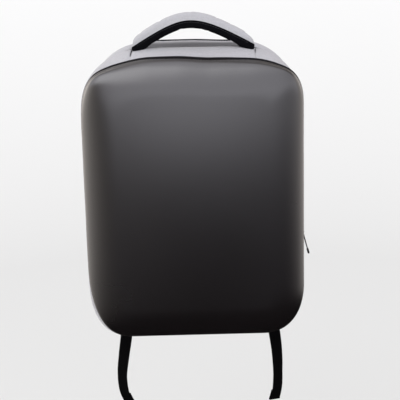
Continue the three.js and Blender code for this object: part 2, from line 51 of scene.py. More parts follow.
Y_AXIS = np.array([0.0, 1.0, 0.0])
Z_AXIS = np.array([0.0, 0.0, 1.0])
TINY = 1e-9

# Body sections from front to back: shift moves the middle to the right, waist is how far the sides pull in at
# mid height, and shoulder_lean is how much a section has of the front's uneven shoulders.
SECTION_COLUMNS = (
    "y", "shift", "half", "top", "base", "waist", "left_foot_w", "left_foot_h", "left_foot_power",
    "shoulder_lean", "shoulder_w", "shoulder_h", "power",
)
SECTIONS = np.array([
    [0, 0, 150, 195.8, -195.8, 0, 61, 118, 2.58, 1, 135, 68, 3.05],
    [4, -0.3, 150.6, 196.8, -197.5, 0.5, 63, 118, 2.65, 0.9, 130, 70, 2.95],
    [9, -0.7, 151.6, 198.4, -200.5, 1.5, 72, 118, 3, 0.8, 122, 74, 2.8],
    [24, -0.2, 152.5, 202.4, -202, 2, 72, 118, 3, 0.5, 104, 82, 2.5],
    [42, 0.8, 153, 206.5, -202, 2, 71, 113, 2.9, 0.15, 92, 87, 2.18],
    [60, 1, 152.8, 204.2, -202, 2, 69, 100, 2.7, 0, 88, 88, 2.08],
    [71, 1, 152.5, 203.4, -202, 2, 66, 91, 2.55, 0, 88, 88, 2.08],
    [82, 1.2, 152.5, 203.8, -202, 2, 64, 86, 2.45, 0, 88, 88, 2.08],
    [92, 1.5, 152, 208.8, -202, 2, 62, 82, 2.4, 0, 87, 90, 2.09],
    [103, 1.5, 150, 211.2, -200.5, 2, 60, 77, 2.3, 0, 86, 92, 2.05],
    [108, 1.5, 147.5, 211.8, -197.5, 2, 58, 73, 2.25, 0, 88, 94, 1.9],
])

# Width, height and power of the right foot, and what the left shoulder has beyond the right one
RIGHT_FOOT = (58, 73, 2.25)
LEFT_SHOULDER_EXTRA = np.array([12, 40, 1])

# Soft facets in the panel's top corners, between two insets
FACET_POWER = 3.5
FACET_START = 2
FACET_SPAN = 46

# Sags of the top edges: where along x each comes and goes
PRESS_DEPTH = 2.8
PRESS_LEFT = ((-140, -110), (-56, -102))
PRESS_RIGHT = ((-20, 28), (138, 114))
PRESS_EASING = (58, 94)
PRESS_EASED = 0.42
REAR_SAG = 1.9
REAR_SAG_SPAN = ((-2, 52), (84, 56))
REAR_SAG_DEPTHS = (82, 103)
SAG_LOWEST = 100

# Sides and seams of the outline
TAPER = 5e-5
WAIST_SPAN = 150
SEAM_MIDDLE = 3
SEAM_HALF_SPAN = 85
ZIP_END_Z = -74

# Depths of the body's bands behind the front seam
GUSSET_FRONT = 3.8
ZIP_FRONT = 60
ZIP_REAR = 82
ZIP_MIDDLE = 71
REAR_SEAM = 108
BACK_FRONT = 111.8
BACK_REAR = 120.8
CLOTH = 2
GAP = 0.3

# Steps round the outline, from the right seam over the top
CROWN_STEPS = 72
LEFT_STEPS = 100
BASE_STEPS = 120
RIGHT_STEPS = 100
LEFT_SEAM = CROWN_STEPS
LEFT_ZIP_END = LEFT_SEAM + LEFT_STEPS
RIGHT_ZIP_END = LEFT_ZIP_END + BASE_STEPS
STATIONS = RIGHT_ZIP_END + RIGHT_STEPS
CORNER_STEPS = 90

NOISE_SHIFT = (17.3, 5.1, 9.7)


def place(points):
    return (np.asarray(points, float) - HANG_POINT) * MM


def unit(vectors):
    return vectors / np.maximum(np.linalg.norm(vectors, axis=-1, keepdims=True), TINY)


def lengths_along(points):
    steps = np.linalg.norm(np.diff(points, axis=0), axis=1)
    return np.concatenate([[0], np.cumsum(steps)])


def spaced(points, count, last=False):
    """Points at even distances along a polyline, with or without its last point."""
    along = lengths_along(points)
    wanted = np.linspace(0, along[-1], count, endpoint=last)
    return np.stack([np.interp(wanted, along, column) for column in points.T], axis=1)


def wander(points, size, seed):
    """Smooth noise of about that size in millimetres, from minus one to one."""
    offset = Vector([seed * shift for shift in NOISE_SHIFT])
    flat = np.asarray(points, float).reshape(-1, 3) / size
    values = [noise.noise(Vector(p) + offset) for p in flat]
    return np.array(values).reshape(np.shape(points)[:-1])


def smooth_step(values, start, end):
    share = np.clip((values - start) / (end - start), 0, 1)
    return share * share * (3 - 2 * share)


def hermite(t, first, last, first_slope, last_slope):
    """A smooth way from one value to another, with the slopes at its ends."""
    ends = (2 * t**3 - 3 * t**2 + 1) * first + (3 * t**2 - 2 * t**3) * last
    return ends + (t**3 - 2 * t**2 + t) * first_slope + (t**3 - t**2) * last_slope


def signed_power(values, power):
    return np.sign(values) * np.abs(values) ** power


def loop_angles(steps):
    return np.linspace(0, 2 * math.pi, steps, endpoint=False)


def oval(centre, first, second, steps, powers=(1, 1)):
    """A loop round a centre through the ends of two half axes. Powers below one make it squarer."""
    angles = loop_angles(steps)
    waves = (np.cos(angles), np.sin(angles))
    across, up = (signed_power(wave, power)[:, None] for wave, power in zip(waves, powers))
    return np.asarray(centre) + across * np.asarray(first) + up * np.asarray(second)


# Outline of the body

def hump(x, rising, falling):
    return smooth_step(x, *rising) * smooth_step(x, *falling)


def top_press(x):
    """How far the front's top edge sags, at its left shoulder and over its right half."""
    eased = 1 - PRESS_EASED * smooth_step(x, *PRESS_EASING)
    return PRESS_DEPTH * (hump(x, *PRESS_LEFT) + hump(x, *PRESS_RIGHT) * eased)


def rear_sag(x, y):
    """How far the back's top edge sags, right of its middle."""
    return REAR_SAG * hump(x, *REAR_SAG_SPAN) * smooth_step(y, *REAR_SAG_DEPTHS)


def section_at(y):
    """The section at a depth, by a smooth curve through the table."""
    depths = SECTIONS[:, 0]
    k = int(np.clip(np.searchsorted(depths, y) - 1, 0, len(depths) - 2))
    step = depths[k + 1] - depths[k]
    slopes = step * np.gradient(SECTIONS, depths, axis=0)
    t = np.clip((y - depths[k]) / step, 0, 1)
    return dict(zip(SECTION_COLUMNS, hermite(t, *SECTIONS[k:k + 2], *slopes[k:k + 2])))


def corner(width, height, power, angles):
    """A quarter of a superellipse, from its side at angle 0 to its top at a right angle."""
    exponent = 2 / power
    across = width * np.cos(angles).clip(0) ** exponent
    return np.stack([across, height * np.sin(angles).clip(0) ** exponent], axis=1)


def outline(section, inset=0.0):
    """Evenly spaced points of a section, from the right seam over the top, down the left and round."""
    half = section["half"] - inset
    top = section["top"] - inset
    base = section["base"] + inset
    quarter = math.pi / 2

    def shoulder(side):
        lean = section["shoulder_lean"] if side < 0 else 0
        sizes = np.array([section["shoulder_w"], section["shoulder_h"], section["power"]])
        within = np.clip((inset - FACET_START) / FACET_SPAN, 0, 1)
        facet = FACET_POWER * math.sin(math.pi * within) * section["shoulder_lean"]
        width, height, power = sizes + lean * LEFT_SHOULDER_EXTRA - np.array([inset, inset, -facet])
        seam_x = (SEAM_HALF_SPAN + side * SEAM_MIDDLE) * half / section["half"]
        seam = math.acos(((seam_x - half + width) / width) ** (power / 2))

        def points(start, end):
            x, z = corner(width, height, power, np.linspace(start, end, CORNER_STEPS)).T
            return np.stack([side * (half - width + x), top - height + z], axis=1)

        return points, seam

    def foot(side, start, end):
        left_foot = [section[key] for key in ("left_foot_w", "left_foot_h", "left_foot_power")]
        width, height, power = np.array(left_foot if side < 0 else RIGHT_FOOT) - [inset, inset, 0]
        x, z = corner(width, height, power, np.linspace(start, end, CORNER_STEPS)).T
        return np.stack([side * (half - width + x), base + height - z], axis=1)

    left, left_seam = shoulder(-1)
    right, right_seam = shoulder(1)
    left_end = np.array([[-half, ZIP_END_Z]])
    right_end = np.array([[half, ZIP_END_Z]])
    stretches = [
        (CROWN_STEPS, [right(right_seam, quarter), left(quarter, left_seam)]),
        (LEFT_STEPS, [left(left_seam, 0), left_end]),
        (BASE_STEPS, [left_end, foot(-1, 0, quarter), foot(1, quarter, 0), right_end]),
        (RIGHT_STEPS, [right_end, right(0, right_seam)]),
    ]
    x, z = np.concatenate([spaced(np.concatenate(parts), count) for count, parts in stretches]).T
    sag = section["shoulder_lean"] * top_press(x) + rear_sag(x, section["y"])
    z = z - sag * (z > SAG_LOWEST)
    waist = section["waist"] / section["half"] * np.clip(1 - (z / WAIST_SPAN) ** 2, 0, None)
    return np.stack([section["shift"] + x * (1 - TAPER * z) * (1 - waist), z], axis=1)


@functools.lru_cache(maxsize=None)
def ring(y, inset=0.0):
    x, z = outline(section_at(y), inset).T
    return np.stack([x, np.full(STATIONS, float(y)), z], axis=1)


def outward(points):
    """Directions away from the middle of a closed ring, square to it."""
    step = np.roll(points, -1, axis=0) - np.roll(points, 1, axis=0)
    return unit(np.stack([step[:, 2], np.zeros(len(step)), -step[:, 0]], axis=1))


def station_range(start, end):
    count = (end - start) % STATIONS
    return (start + np.arange(count + 1)) % STATIONS


CROWN_RUN = station_range(0, LEFT_SEAM)
SIDES_AND_BASE_RUN = station_range(LEFT_SEAM, 0)
ZIP_RUN = station_range(RIGHT_ZIP_END, LEFT_ZIP_END)
BASE_RUN = station_range(LEFT_ZIP_END, RIGHT_ZIP_END)
WHOLE_RUN = np.arange(STATIONS)


# Meshes

# Share of a rod's length and of its radius
CAPSULE_PROFILE = ((-0.5, 0.55), (-0.36, 1.0), (0.36, 1.0), (0.5, 0.55))
STEEP = 0.9
SHARP_ANGLE = math.radians(60)
WELD_DISTANCE = 2e-6
SLIVER = 1e-7
SEWN_GROUP = "sewn"


def loft(rows, closed_path=False):
    """Quads along rows of points, each row a closed section, with caps on an open path.

    Gives points, faces and the cloth's own millimetres, along and round, at each face corner."""
    rows = np.asarray(rows, float)
    count, around = rows.shape[:2]
    index = np.arange(count * around).reshape(count, around)
    steps = count if closed_path else count - 1
    middle = rows.mean(axis=1)
    along = lengths_along(np.concatenate([middle, middle[:1]]) if closed_path else middle)
    typical = rows[count // 2]
    across = lengths_along(np.concatenate([typical, typical[:1]]))
    faces, uvs = [], []
    for r in range(steps):
        after = (r + 1) % count
        for c in range(around):
            d = (c + 1) % around
            faces.append((index[r, c], index[r, d], index[after, d], index[after, c]))
            u0, u1, v0, v1 = along[r], along[r + 1], across[c], across[c + 1]
            uvs.append(((u0, v0), (u0, v1), (u1, v1), (u1, v0)))
    if not closed_path:
        faces.append(tuple(index[0][::-1]))
        faces.append(tuple(index[-1]))
        uvs.append([(along[0], v) for v in across[:-1]][::-1])
        uvs.append([(along[-1], v) for v in across[:-1]])
    return rows.reshape(-1, 3), faces, uvs


def capsules(centres, axes, length, radius, sides=6):
    """Short rounded rods, all of one size, such as stitches and teeth."""
    centres = np.asarray(centres, float)
    axes = unit(np.asarray(axes, float))
    helper = np.where(np.abs(axes[:, 2:]) > STEEP, X_AXIS, Z_AXIS)
    right = unit(np.cross(axes, helper))
    up = np.cross(right, axes)
    points = []
    for share, swelling in CAPSULE_PROFILE:
        middle = centres + axes * length * share
        for angle in loop_angles(sides):
            points.append(middle + radius * swelling * (right * math.cos(angle) + up * math.sin(angle)))
    points = np.stack(points, axis=1)
    last_ring = (len(CAPSULE_PROFILE) - 1) * sides
    faces = []
    for first in points.shape[1] * np.arange(len(centres)):
        for a in range(first, first + last_ring, sides):
            for c in range(sides):
                d = (c + 1) % sides
                faces.append((a + c, a + d, a + sides + d, a + sides + c))
        faces.append(tuple(first + c for c in reversed(range(sides))))
        faces.append(tuple(first + last_ring + c for c in range(sides)))
    uvs = [[(0.0, 0.0)] * len(face) for face in faces]
    return points.reshape(-1, 3), faces, uvs


def weld(obj):
    """Merges points that meet, turns every face outward and drops faces without area."""
    work = bmesh.new()
    work.from_mesh(obj.data)
    bmesh.ops.remove_doubles(work, verts=work.verts, dist=WELD_DISTANCE)
    bmesh.ops.dissolve_degenerate(work, edges=work.edges, dist=SLIVER)
    bmesh.ops.recalc_face_normals(work, faces=work.faces)
    work.to_mesh(obj.data)
    work.free()


def piece(name, surfaces, finish, node=None, body="bag", sewn=None):
    """One object from one or more surfaces, riding on its body in place of a node of the frame.

    sewn marks the points that seams hold."""
    points, faces, uvs, start = [], [], [], 0
    for some_points, some_faces, some_uvs in surfaces:
        points.append(some_points)
        faces += [tuple(int(i) + start for i in face) for face in some_faces]
        uvs += some_uvs
        start += len(some_points)
    mesh = bpy.data.meshes.new(name)
    mesh.from_pydata(place(np.concatenate(points)).tolist(), [], faces)
    layer = mesh.uv_layers.new(name="cloth")
    layer.data.foreach_set("uv", np.array([uv for face in uvs for uv in face]).ravel())
    mesh.polygons.foreach_set("use_smooth", np.ones(len(mesh.polygons), bool))
    mesh.set_sharp_from_angle(angle=SHARP_ANGLE)
    mesh.materials.append(finish.material)
    obj = bpy.data.objects.new(name, mesh)
    bpy.context.scene.collection.objects.link(obj)
    if sewn is not None:
        obj.vertex_groups.new(name=SEWN_GROUP).add(np.flatnonzero(sewn).tolist(), 1.0, "REPLACE")
    weld(obj)
    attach(obj, body)
    if node:
        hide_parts(node)
    return obj


# Padding

SWELL_FRAMES = 20
SWELL_CLOTH = {
    "quality": 6, "mass": 0.3, "air_damping": 4, "tension_stiffness": 8, "compression_stiffness": 8,
    "bending_stiffness": 0.8, "shrink_min": -0.025, "use_pressure": True, "uniform_pressure_force": 4.0,
    "vertex_group_mass": SEWN_GROUP,
}


def points_of(mesh):
    found = np.empty(len(mesh.vertices) * 3)
    mesh.vertices.foreach_get("co", found)
    return found.reshape(-1, 3)


def simulated(obj):
    """How far each point of a piece moves when it is blown up as cloth that its seams hold."""
    cloth = obj.modifiers.new("padding", "CLOTH")
    for key, value in SWELL_CLOTH.items():
        setattr(cloth.settings, key, value)
    cloth.settings.effector_weights.gravity = 0
    cloth.point_cache.frame_start = 1
    cloth.point_cache.frame_end = SWELL_FRAMES
    for number in range(1, SWELL_FRAMES + 1):
        bpy.context.scene.frame_set(number)
    swollen = obj.evaluated_get(bpy.context.evaluated_depsgraph_get())
    moved = points_of(swollen.data) - points_of(obj.data)
    obj.modifiers.remove(cloth)
    bpy.context.scene.frame_set(1)
    return moved


def swell(obj, reach):
    """No point moves further than the reach."""
    moved = simulated(obj)
    length = np.linalg.norm(moved, axis=1, keepdims=True) / MM
    print(f"{obj.name} swells {length.mean():.2f} mm, at most {length.max():.2f}")
    kept = reach * np.tanh(length / reach)
    settled = points_of(obj.data) + moved * kept / np.maximum(length, TINY)
    obj.data.vertices.foreach_set("co", settled.ravel())
    obj.data.update()
    obj.vertex_groups.remove(obj.vertex_groups[SEWN_GROUP])


def seated(obj, points):
    """The nearest places on a piece, with the way its surface faces there."""
    spots, away = [], []
    for point in place(points):
        _, spot, normal, _ = obj.closest_point_on_mesh(Vector(point))
        spots.append(spot)
        away.append(normal)
    return np.array(spots) / MM + HANG_POINT, np.array(away)


# Shader nodes

# Length of one wave of the wave texture at scale one
WAVE_LENGTH = math.pi / 10


def rgba(colour):
    """A colour or a single number as a shader colour."""
    return (*(colour if np.ndim(colour) else [colour] * 3), 1)


class Nodes:
    """Short calls for the nodes of one tree."""

    def __init__(self, tree):
        self.tree = tree

    def feed(self, socket, source):
        """Links a socket to another node's output, or gives it a value of its own."""
        if isinstance(source, bpy.types.NodeSocket):
            self.tree.links.new(source, socket)
        else:
            socket.default_value = source

    def node(self, kind, sockets=None, **settings):
        node = self.tree.nodes.new(kind)
        for key, value in settings.items():
            setattr(node, key, value)
        for key, source in (sockets or {}).items():
            self.feed(node.inputs[key], source)
        return node

    def math(self, operation, *values):
        return self.node("ShaderNodeMath", dict(enumerate(values)), operation=operation).outputs["Value"]

    def combine(self, operation, values):
        """One value from several, taken in turn."""
        return functools.reduce(lambda a, b: self.math(operation, a, b), values)

    def mix(self, first, second, share=1.0, blend="MIX"):
        node = self.node("ShaderNodeMix", {"Factor": share}, data_type="RGBA", blend_type=blend)
        colours = [socket for socket in node.inputs if socket.type == "RGBA"]
        for socket, source in zip(colours, (first, second)):
            self.feed(socket, source)
        return next(socket for socket in node.outputs if socket.type == "RGBA")


class Shader(Nodes):
    """A material with textures in the cloth's own millimetres or in the frame's metres."""

    def __init__(self, name, colour, roughness, **sockets):
        self.material = bpy.data.materials.new(name)
        self.material.use_nodes = True
        super().__init__(self.material.node_tree)
        self.bsdf = self.tree.nodes["Principled BSDF"]
        self.set("Base Color", rgba(colour))
        self.set("Roughness", roughness)
        for socket, value in sockets.items():
            self.set(socket.replace("_", " "), value)

    def set(self, socket, source):
        self.feed(self.bsdf.inputs[socket], source)

    def scaled(self, spot, scale):
        return self.node("ShaderNodeVectorMath", {0: spot, 1: scale}, operation="MULTIPLY").outputs["Vector"]

    def cloth_place(self, along=1.0, across=1.0):
        return self.scaled(self.node("ShaderNodeUVMap", uv_map="cloth").outputs["UV"], (along, across, 1))

    def solid_place(self, scale=(1, 1, 1)):
        return self.scaled(self.node("ShaderNodeTexCoord").outputs["Object"], scale)

    def noise(self, spot, scale, detail=2.0, roughness=0.5):
        sockets = {"Vector": spot, "Scale": scale, "Detail": detail, "Roughness": roughness}
        return self.node("ShaderNodeTexNoise", sockets).outputs["Fac"]

    def cells(self, spot, scale, randomness=1.0):
        sockets = {"Vector": spot, "Scale": scale, "Randomness": randomness}
        return self.node("ShaderNodeTexVoronoi", sockets, feature="F1").outputs["Distance"]

    def waves(self, spot, pitch, direction):
        """Even ribs of that pitch, in the place's own units."""
        sockets = {"Vector": spot, "Scale": WAVE_LENGTH / pitch}
        return self.node("ShaderNodeTexWave", sockets, bands_direction=direction).outputs["Fac"]

    def ramp(self, factor, low, high, start, end):
        """Runs from one colour or number to another while the factor goes from start to end."""
        node = self.node("ShaderNodeValToRGB", {"Fac": factor})
        for stop, position, colour in zip(node.color_ramp.elements, (start, end), (low, high)):
            stop.position = position
            stop.color = rgba(colour)
        return node.outputs["Color"]

    def bump(self, height, depth_mm, strength=1.0):
        sockets = {"Height": height, "Strength": strength, "Distance": depth_mm * MM}
        self.set("Normal", self.node("ShaderNodeBump", sockets).outputs["Normal"])


# Materials

Finish = collections.namedtuple("Finish", "material slot")

# Flecks of woven cloth: long specks both ways and soft clouds
FLECK_SCALE = 0.55
FLECK_STRETCH = (0.35, 2.2)
CLOUD_SCALE = 22
FLECK_SHARES = (0.45, 0.35, 0.2)
FLECK_SPAN = (0.35, 0.65)
FLECK_RELIEF = 0.6

# Painted shade on the rear cloth under the handle, standing for the handle's shadow, in the frame's metres
PAINTED_SHADE_DEPTH = 0.27
PAINTED_SHADE_START = 0.045
PAINTED_SHADE_END = 0.0592
PAINTED_SHADE_HALF = 0.072
PAINTED_SHADE_SLOPE = 60
PAINTED_SHADE_LOWEST = -0.1

GREY_LIGHT = (0.526, 0.528, 0.542)
GREY_DARK = (0.404, 0.404, 0.417)
GREY_WEAVE = {"pitch": 0.75, "roughness": 0.85, "depth": 0.12, "Sheen_Weight": 0.12, "Sheen_Roughness": 0.5}


def painted_handle_shade(shader, colour):
    """Painted shade: darkens the cloth towards its front seam, between the handle's feet, for the shadow
    under the handle.
    """
    x, y, z = shader.node("ShaderNodeSeparateXYZ", {0: shader.solid_place()}).outputs
    behind = shader.math("DIVIDE", shader.math("SUBTRACT", y, PAINTED_SHADE_START), PAINTED_SHADE_END - PAINTED_SHADE_START)
    beyond = shader.math("SUBTRACT", shader.math("ABSOLUTE", x), PAINTED_SHADE_HALF)
    beside = shader.math("MAXIMUM", shader.math("MULTIPLY", beyond, PAINTED_SHADE_SLOPE), 0)
    below = shader.math("GREATER_THAN", PAINTED_SHADE_LOWEST, z)
    share = shader.combine("ADD", (behind, beside, below))
    return shader.mix(colour, shader.ramp(share, PAINTED_SHADE_DEPTH, 1.0, 0, 1), blend="MULTIPLY")


def woven(name, light, dark, pitch, roughness, depth, shaded=False, **sockets):
    """Plain woven cloth with threads of that pitch, flecked between two shades; with shaded, it also takes
    painted shade under the handle.
    """
    shader = Shader(name, light, roughness, **sockets)
    along, across = FLECK_STRETCH
    specks = (
        shader.noise(shader.cloth_place(along, across), FLECK_SCALE, 3),
        shader.noise(shader.cloth_place(across, along), FLECK_SCALE, 3),
        shader.noise(shader.solid_place(), CLOUD_SCALE, 2),
    )
    flecks = shader.combine(
        "ADD", [shader.math("MULTIPLY", speck, share) for speck, share in zip(specks, FLECK_SHARES)])
    colour = shader.ramp(flecks, dark, light, *FLECK_SPAN)
    shader.set("Base Color", painted_handle_shade(shader, colour) if shaded else colour)
    threads = shader.cloth_place()
    crossings = shader.math("MULTIPLY", *(shader.waves(threads, pitch, way) for way in "XY"))
    shader.bump(shader.math("ADD", crossings, shader.math("MULTIPLY", flecks, FLECK_RELIEF)), depth)
    return shader.material


def panel_skin():
    """Satin skin with a fine moulded grain and faint handling marks."""
    shader = Shader("panel_skin", (0.0045, 0.003, 0.0035), roughness=0.27, IOR=2.05)
    spot = shader.solid_place()
    marks = shader.noise(spot, scale=9, detail=4, roughness=0.6)
    shader.set("Roughness", shader.ramp(marks, 0.262, 0.278, start=0.2, end=0.8))
    tint = shader.noise(spot, scale=5)
    dark, light = (0.0038, 0.0024, 0.0028), (0.005, 0.0034, 0.0039)
    shader.set("Base Color", shader.ramp(tint, dark, light, start=0.3, end=0.7))
    shader.bump(shader.cells(spot, scale=1500), depth_mm=0.02, strength=0.35)
    return shader.material


def soft_cord(name, colour, roughness, gloss=0.5):
    shader = Shader(name, colour, roughness, Specular_IOR_Level=gloss)
    spot = shader.solid_place()
    worn = shader.noise(spot, scale=160, detail=3)
    shader.set("Roughness", shader.ramp(worn, roughness - 0.08, roughness + 0.1, start=0.3, end=0.7))
    shader.bump(shader.noise(spot, scale=900, detail=3), depth_mm=0.08)
    return shader.material


def moulded(name, colour, roughness, **sockets):
    """Moulded plastic or coated metal with a fine spark-eroded grain."""
    shader = Shader(name, colour, roughness, **sockets)
    spot = shader.solid_place()
    lighter = tuple(min(1.0, part * 1.5) for part in colour)
    tint = shader.noise(spot, scale=300, detail=3)
    shader.set("Base Color", shader.ramp(tint, colour, lighter, start=0.45, end=0.8))
    worn = shader.noise(spot, scale=90, detail=3)
    shader.set("Roughness", shader.ramp(worn, roughness - 0.07, roughness + 0.08, start=0.3, end=0.7))
    shader.bump(shader.noise(spot, scale=2200), depth_mm=0.03)
    return shader.material


def ribbed_webbing():
    shader = Shader("webbing_black", (0.0017, 0.0016, 0.002), roughness=0.8, Specular_IOR_Level=0.05)
    ribs = shader.waves(shader.cloth_place(), pitch=1.7, direction="X")
    cross = shader.waves(shader.cloth_place(), pitch=1.1, direction="Y")
    threads = shader.math("MULTIPLY", ribs, cross)
    dark, light = (0.0008, 0.0007, 0.001), (0.0026, 0.0024, 0.003)
    shader.set("Base Color", shader.ramp(threads, dark, light, start=0.1, end=0.9))
    shader.bump(threads, depth_mm=0.35)
    return shader.material


def spacer_mesh():
    """Black knitted mesh with small open cells."""
    shader = Shader("spacer_mesh", (0.012, 0.012, 0.014), 0.8, Sheen_Weight=0.07, Sheen_Roughness=0.5)
    holes = shader.cells(shader.solid_place((1, 0.2, 1)), scale=330, randomness=0.25)
    dark, light = (0.003, 0.003, 0.004), (0.02, 0.02, 0.023)
    shader.set("Base Color", shader.ramp(holes, dark, light, start=0.18, end=0.55))
    shader.bump(holes, depth_mm=0.5)
    return shader.material


PANEL_SKIN = Finish(panel_skin(), "panel")
PIPING_BLACK = Finish(soft_cord("piping_black", (0.009, 0.009, 0.0105), roughness=0.75, gloss=0.15), "piping")
GREY_CLOTH = Finish(woven("grey_cloth", GREY_LIGHT, GREY_DARK, **GREY_WEAVE), "grey_cloth")
# The rear cloth is the grey cloth with painted shade under the handle
REAR_CLOTH = Finish(woven("rear_cloth_grey_painted_shade", GREY_LIGHT, GREY_DARK, shaded=True, **GREY_WEAVE), "grey_cloth")
# The zip tape's dark grey is partly its own tone and partly painted shade of the valley behind the strip's
# crest
ZIP_CLOTH = Finish(
    woven("zip_cloth", (0.125, 0.125, 0.124), (0.09, 0.09, 0.09), pitch=0.6, roughness=0.85, depth=0.1,
          Sheen_Weight=0.1, Sheen_Roughness=0.5),
    "zip_cloth")
BLACK_CLOTH = Finish(
    woven("black_cloth", (0.0042, 0.0042, 0.006), (0.0012, 0.0012, 0.002), pitch=1.3, roughness=0.85,
          depth=0.3, Specular_IOR_Level=0.08),
    "black_cloth")
STRAP_CLOTH = Finish(
    woven("strap_cloth", (0.019, 0.019, 0.022), (0.009, 0.009, 0.011), pitch=1.3, roughness=0.8,
          depth=0.3, Specular_IOR_Level=0.25),
    "black_cloth")
WEBBING = Finish(ribbed_webbing(), "webbing")
SPACER_MESH = Finish(spacer_mesh(), "black_cloth")
BLACK_PLASTIC = Finish(moulded("black_plastic", (0.008, 0.008, 0.0095), roughness=0.42), "hard_plastic")
DARK_METAL = Finish(moulded("dark_metal", (0.05, 0.05, 0.056), roughness=0.35, Metallic=0.9), "dark_metal")
GREY_THREAD = Finish(soft_cord("grey_thread", (0.42, 0.415, 0.43), roughness=0.7), "grey_cloth")
DARK_THREAD = Finish(soft_cord("dark_thread", (0.03, 0.03, 0.033), roughness=0.6), "black_cloth")


# Front panel

PANEL_RIM = 48
PANEL_RIM_DEPTH = 22.6
PANEL_CROWN = 7.7
PANEL_RIM_ROWS = 30
PANEL_CROWN_ROWS = 18
PANEL_INSIDE_RIM_STEP = 4
PANEL_INSIDE_CROWN_STEP = 3


def panel_ring(inset, shrink=1.0, sunk=0.0):
    """A ring of the panel's face: a rolled rim round a low dome, or the same a little sunk for its inside."""
    points = ring(0, float(inset + sunk)) * shrink
    section = section_at(0)
    roll = math.sqrt(1 - (1 - inset / PANEL_RIM) ** 2)
    dome = (1 - (points[:, 0] / section["half"]) ** 2) * (1 - (points[:, 2] / section["top"]) ** 2)
    points[:, 1] = np.minimum(0, sunk - roll * (PANEL_RIM_DEPTH + PANEL_CROWN * dome.clip(0)))
    return points


def make_panel():
    insets = PANEL_RIM * (1 - np.cos(np.linspace(0, math.pi / 2, PANEL_RIM_ROWS)))
    shrinks = np.linspace(1, 0, PANEL_CROWN_ROWS)[1:]
    outer = [panel_ring(inset) for inset in insets]
    outer += [panel_ring(PANEL_RIM, shrink) for shrink in shrinks]
    inner = [panel_ring(inset, 1, CLOTH) for inset in insets[::PANEL_INSIDE_RIM_STEP]]
    inner += [panel_ring(PANEL_RIM, shrink, CLOTH) for shrink in (*shrinks[::PANEL_INSIDE_CROWN_STEP], 0)]
    piece("panel_moulding", [loft(outer + inner[::-1], closed_path=True)], PANEL_SKIN, "front_shell")


# Piping

PIPING_RADIUS = 1.6
PIPING_INSET = 1.1
PIPING_SIDES = 12
PIPING_FULLER = 0.08
PIPING_UNEVEN = 0.08
PIPING_WANDER = 40
FRONT_PIPING_PROUD = 1.4
REAR_PIPING_PROUD = 0.7


def make_piping(name, node, section_y, y, proud, seed):
    """A soft cord along an outline, a little uneven as a sewn cord is, and proud of it over the top."""
    middle = ring(section_y, PIPING_INSET)
    away = outward(middle)
    middle = middle + away * (proud * away[:, 2:].clip(0) ** 2)
    uneven = PIPING_UNEVEN * wander(middle, PIPING_WANDER, seed)
    radius = PIPING_RADIUS * (1 + PIPING_FULLER * proud + uneven)
    rows = []
    for angle in loop_angles(PIPING_SIDES):
        points = middle + away * (radius * math.cos(angle))[:, None]
        points[:, 1] = y + radius * math.sin(angle)
        rows.append(points)
    piece(name, [loft(np.stack(rows, axis=1), closed_path=True)], PIPING_BLACK, node)


# Cloth bands of the body

EDGE_STEPS = (0, 0.25, 0.7, 1.4, 2.6, 4.5)
BAND_STEP = 4.0

# Sewn cloth: how far it moves, how far that reaches from the seam, and how large its noise is
TUCK = 1.1
TUCK_REACH = 0.9
SEAM_PULL = 0.45
SEAM_PULL_REACH = 5
PUCKER = 0.35
PUCKER_REACH = 8
PUCKER_SIZE = 6.5
PUCKER_STRETCH = [1, 0.35, 1]
SOFT_SWELL = 0.55
SOFT_SWELL_REACH = 12
SOFT_SWELL_SIZE = 55
SOFT_SWELL_SEED = 3

# Piece, node, finish, front and rear depths, and stations of each band
BANDS = (
    ("strip_cloth", "top_strip", GREY_CLOTH, GUSSET_FRONT, ZIP_FRONT, CROWN_RUN),
    ("gusset_cloth", "front_gusset", GREY_CLOTH, GUSSET_FRONT, ZIP_FRONT, SIDES_AND_BASE_RUN),
    ("zip_band", "zip_tape", ZIP_CLOTH, ZIP_FRONT + GAP, ZIP_REAR - GAP, ZIP_RUN),
    ("base_cloth", "base_strip", GREY_CLOTH, ZIP_FRONT + GAP, ZIP_REAR - GAP, BASE_RUN),
    ("rear_cloth", "rear_gusset", REAR_CLOTH, ZIP_REAR, REAR_SEAM, WHOLE_RUN),
)

# Noise seeds of two bands, which follow the order above
GUSSET_SEED = 2
REAR_SEED = 5


def band_depths(front, rear):
    """Depths across a band, close together at its seams."""
    edge = np.array([step for step in EDGE_STEPS if step < (rear - front) / 2])
    start, end = front + edge[-1], rear - edge[-1]
    inner = np.linspace(start, end, max(2, round((end - start) / BAND_STEP) + 1))
    return np.concatenate([front + edge, inner[1:-1], (rear - edge)[::-1]])


def cloth_lift(points, edge, seed):
    """How far sewn cloth stands out of its plain form, by its distance from the nearest seam."""
    tuck = -TUCK * np.exp(-((edge / TUCK_REACH) ** 2))
    pull = -SEAM_PULL * np.exp(-edge / SEAM_PULL_REACH)
    pucker = PUCKER * np.exp(-edge / PUCKER_REACH) * wander(points * PUCKER_STRETCH, PUCKER_SIZE, seed)
    soft = wander(points, SOFT_SWELL_SIZE, seed + SOFT_SWELL_SEED)
    return tuck + pull + pucker + SOFT_SWELL * (1 - np.exp(-edge / SOFT_SWELL_REACH)) * soft


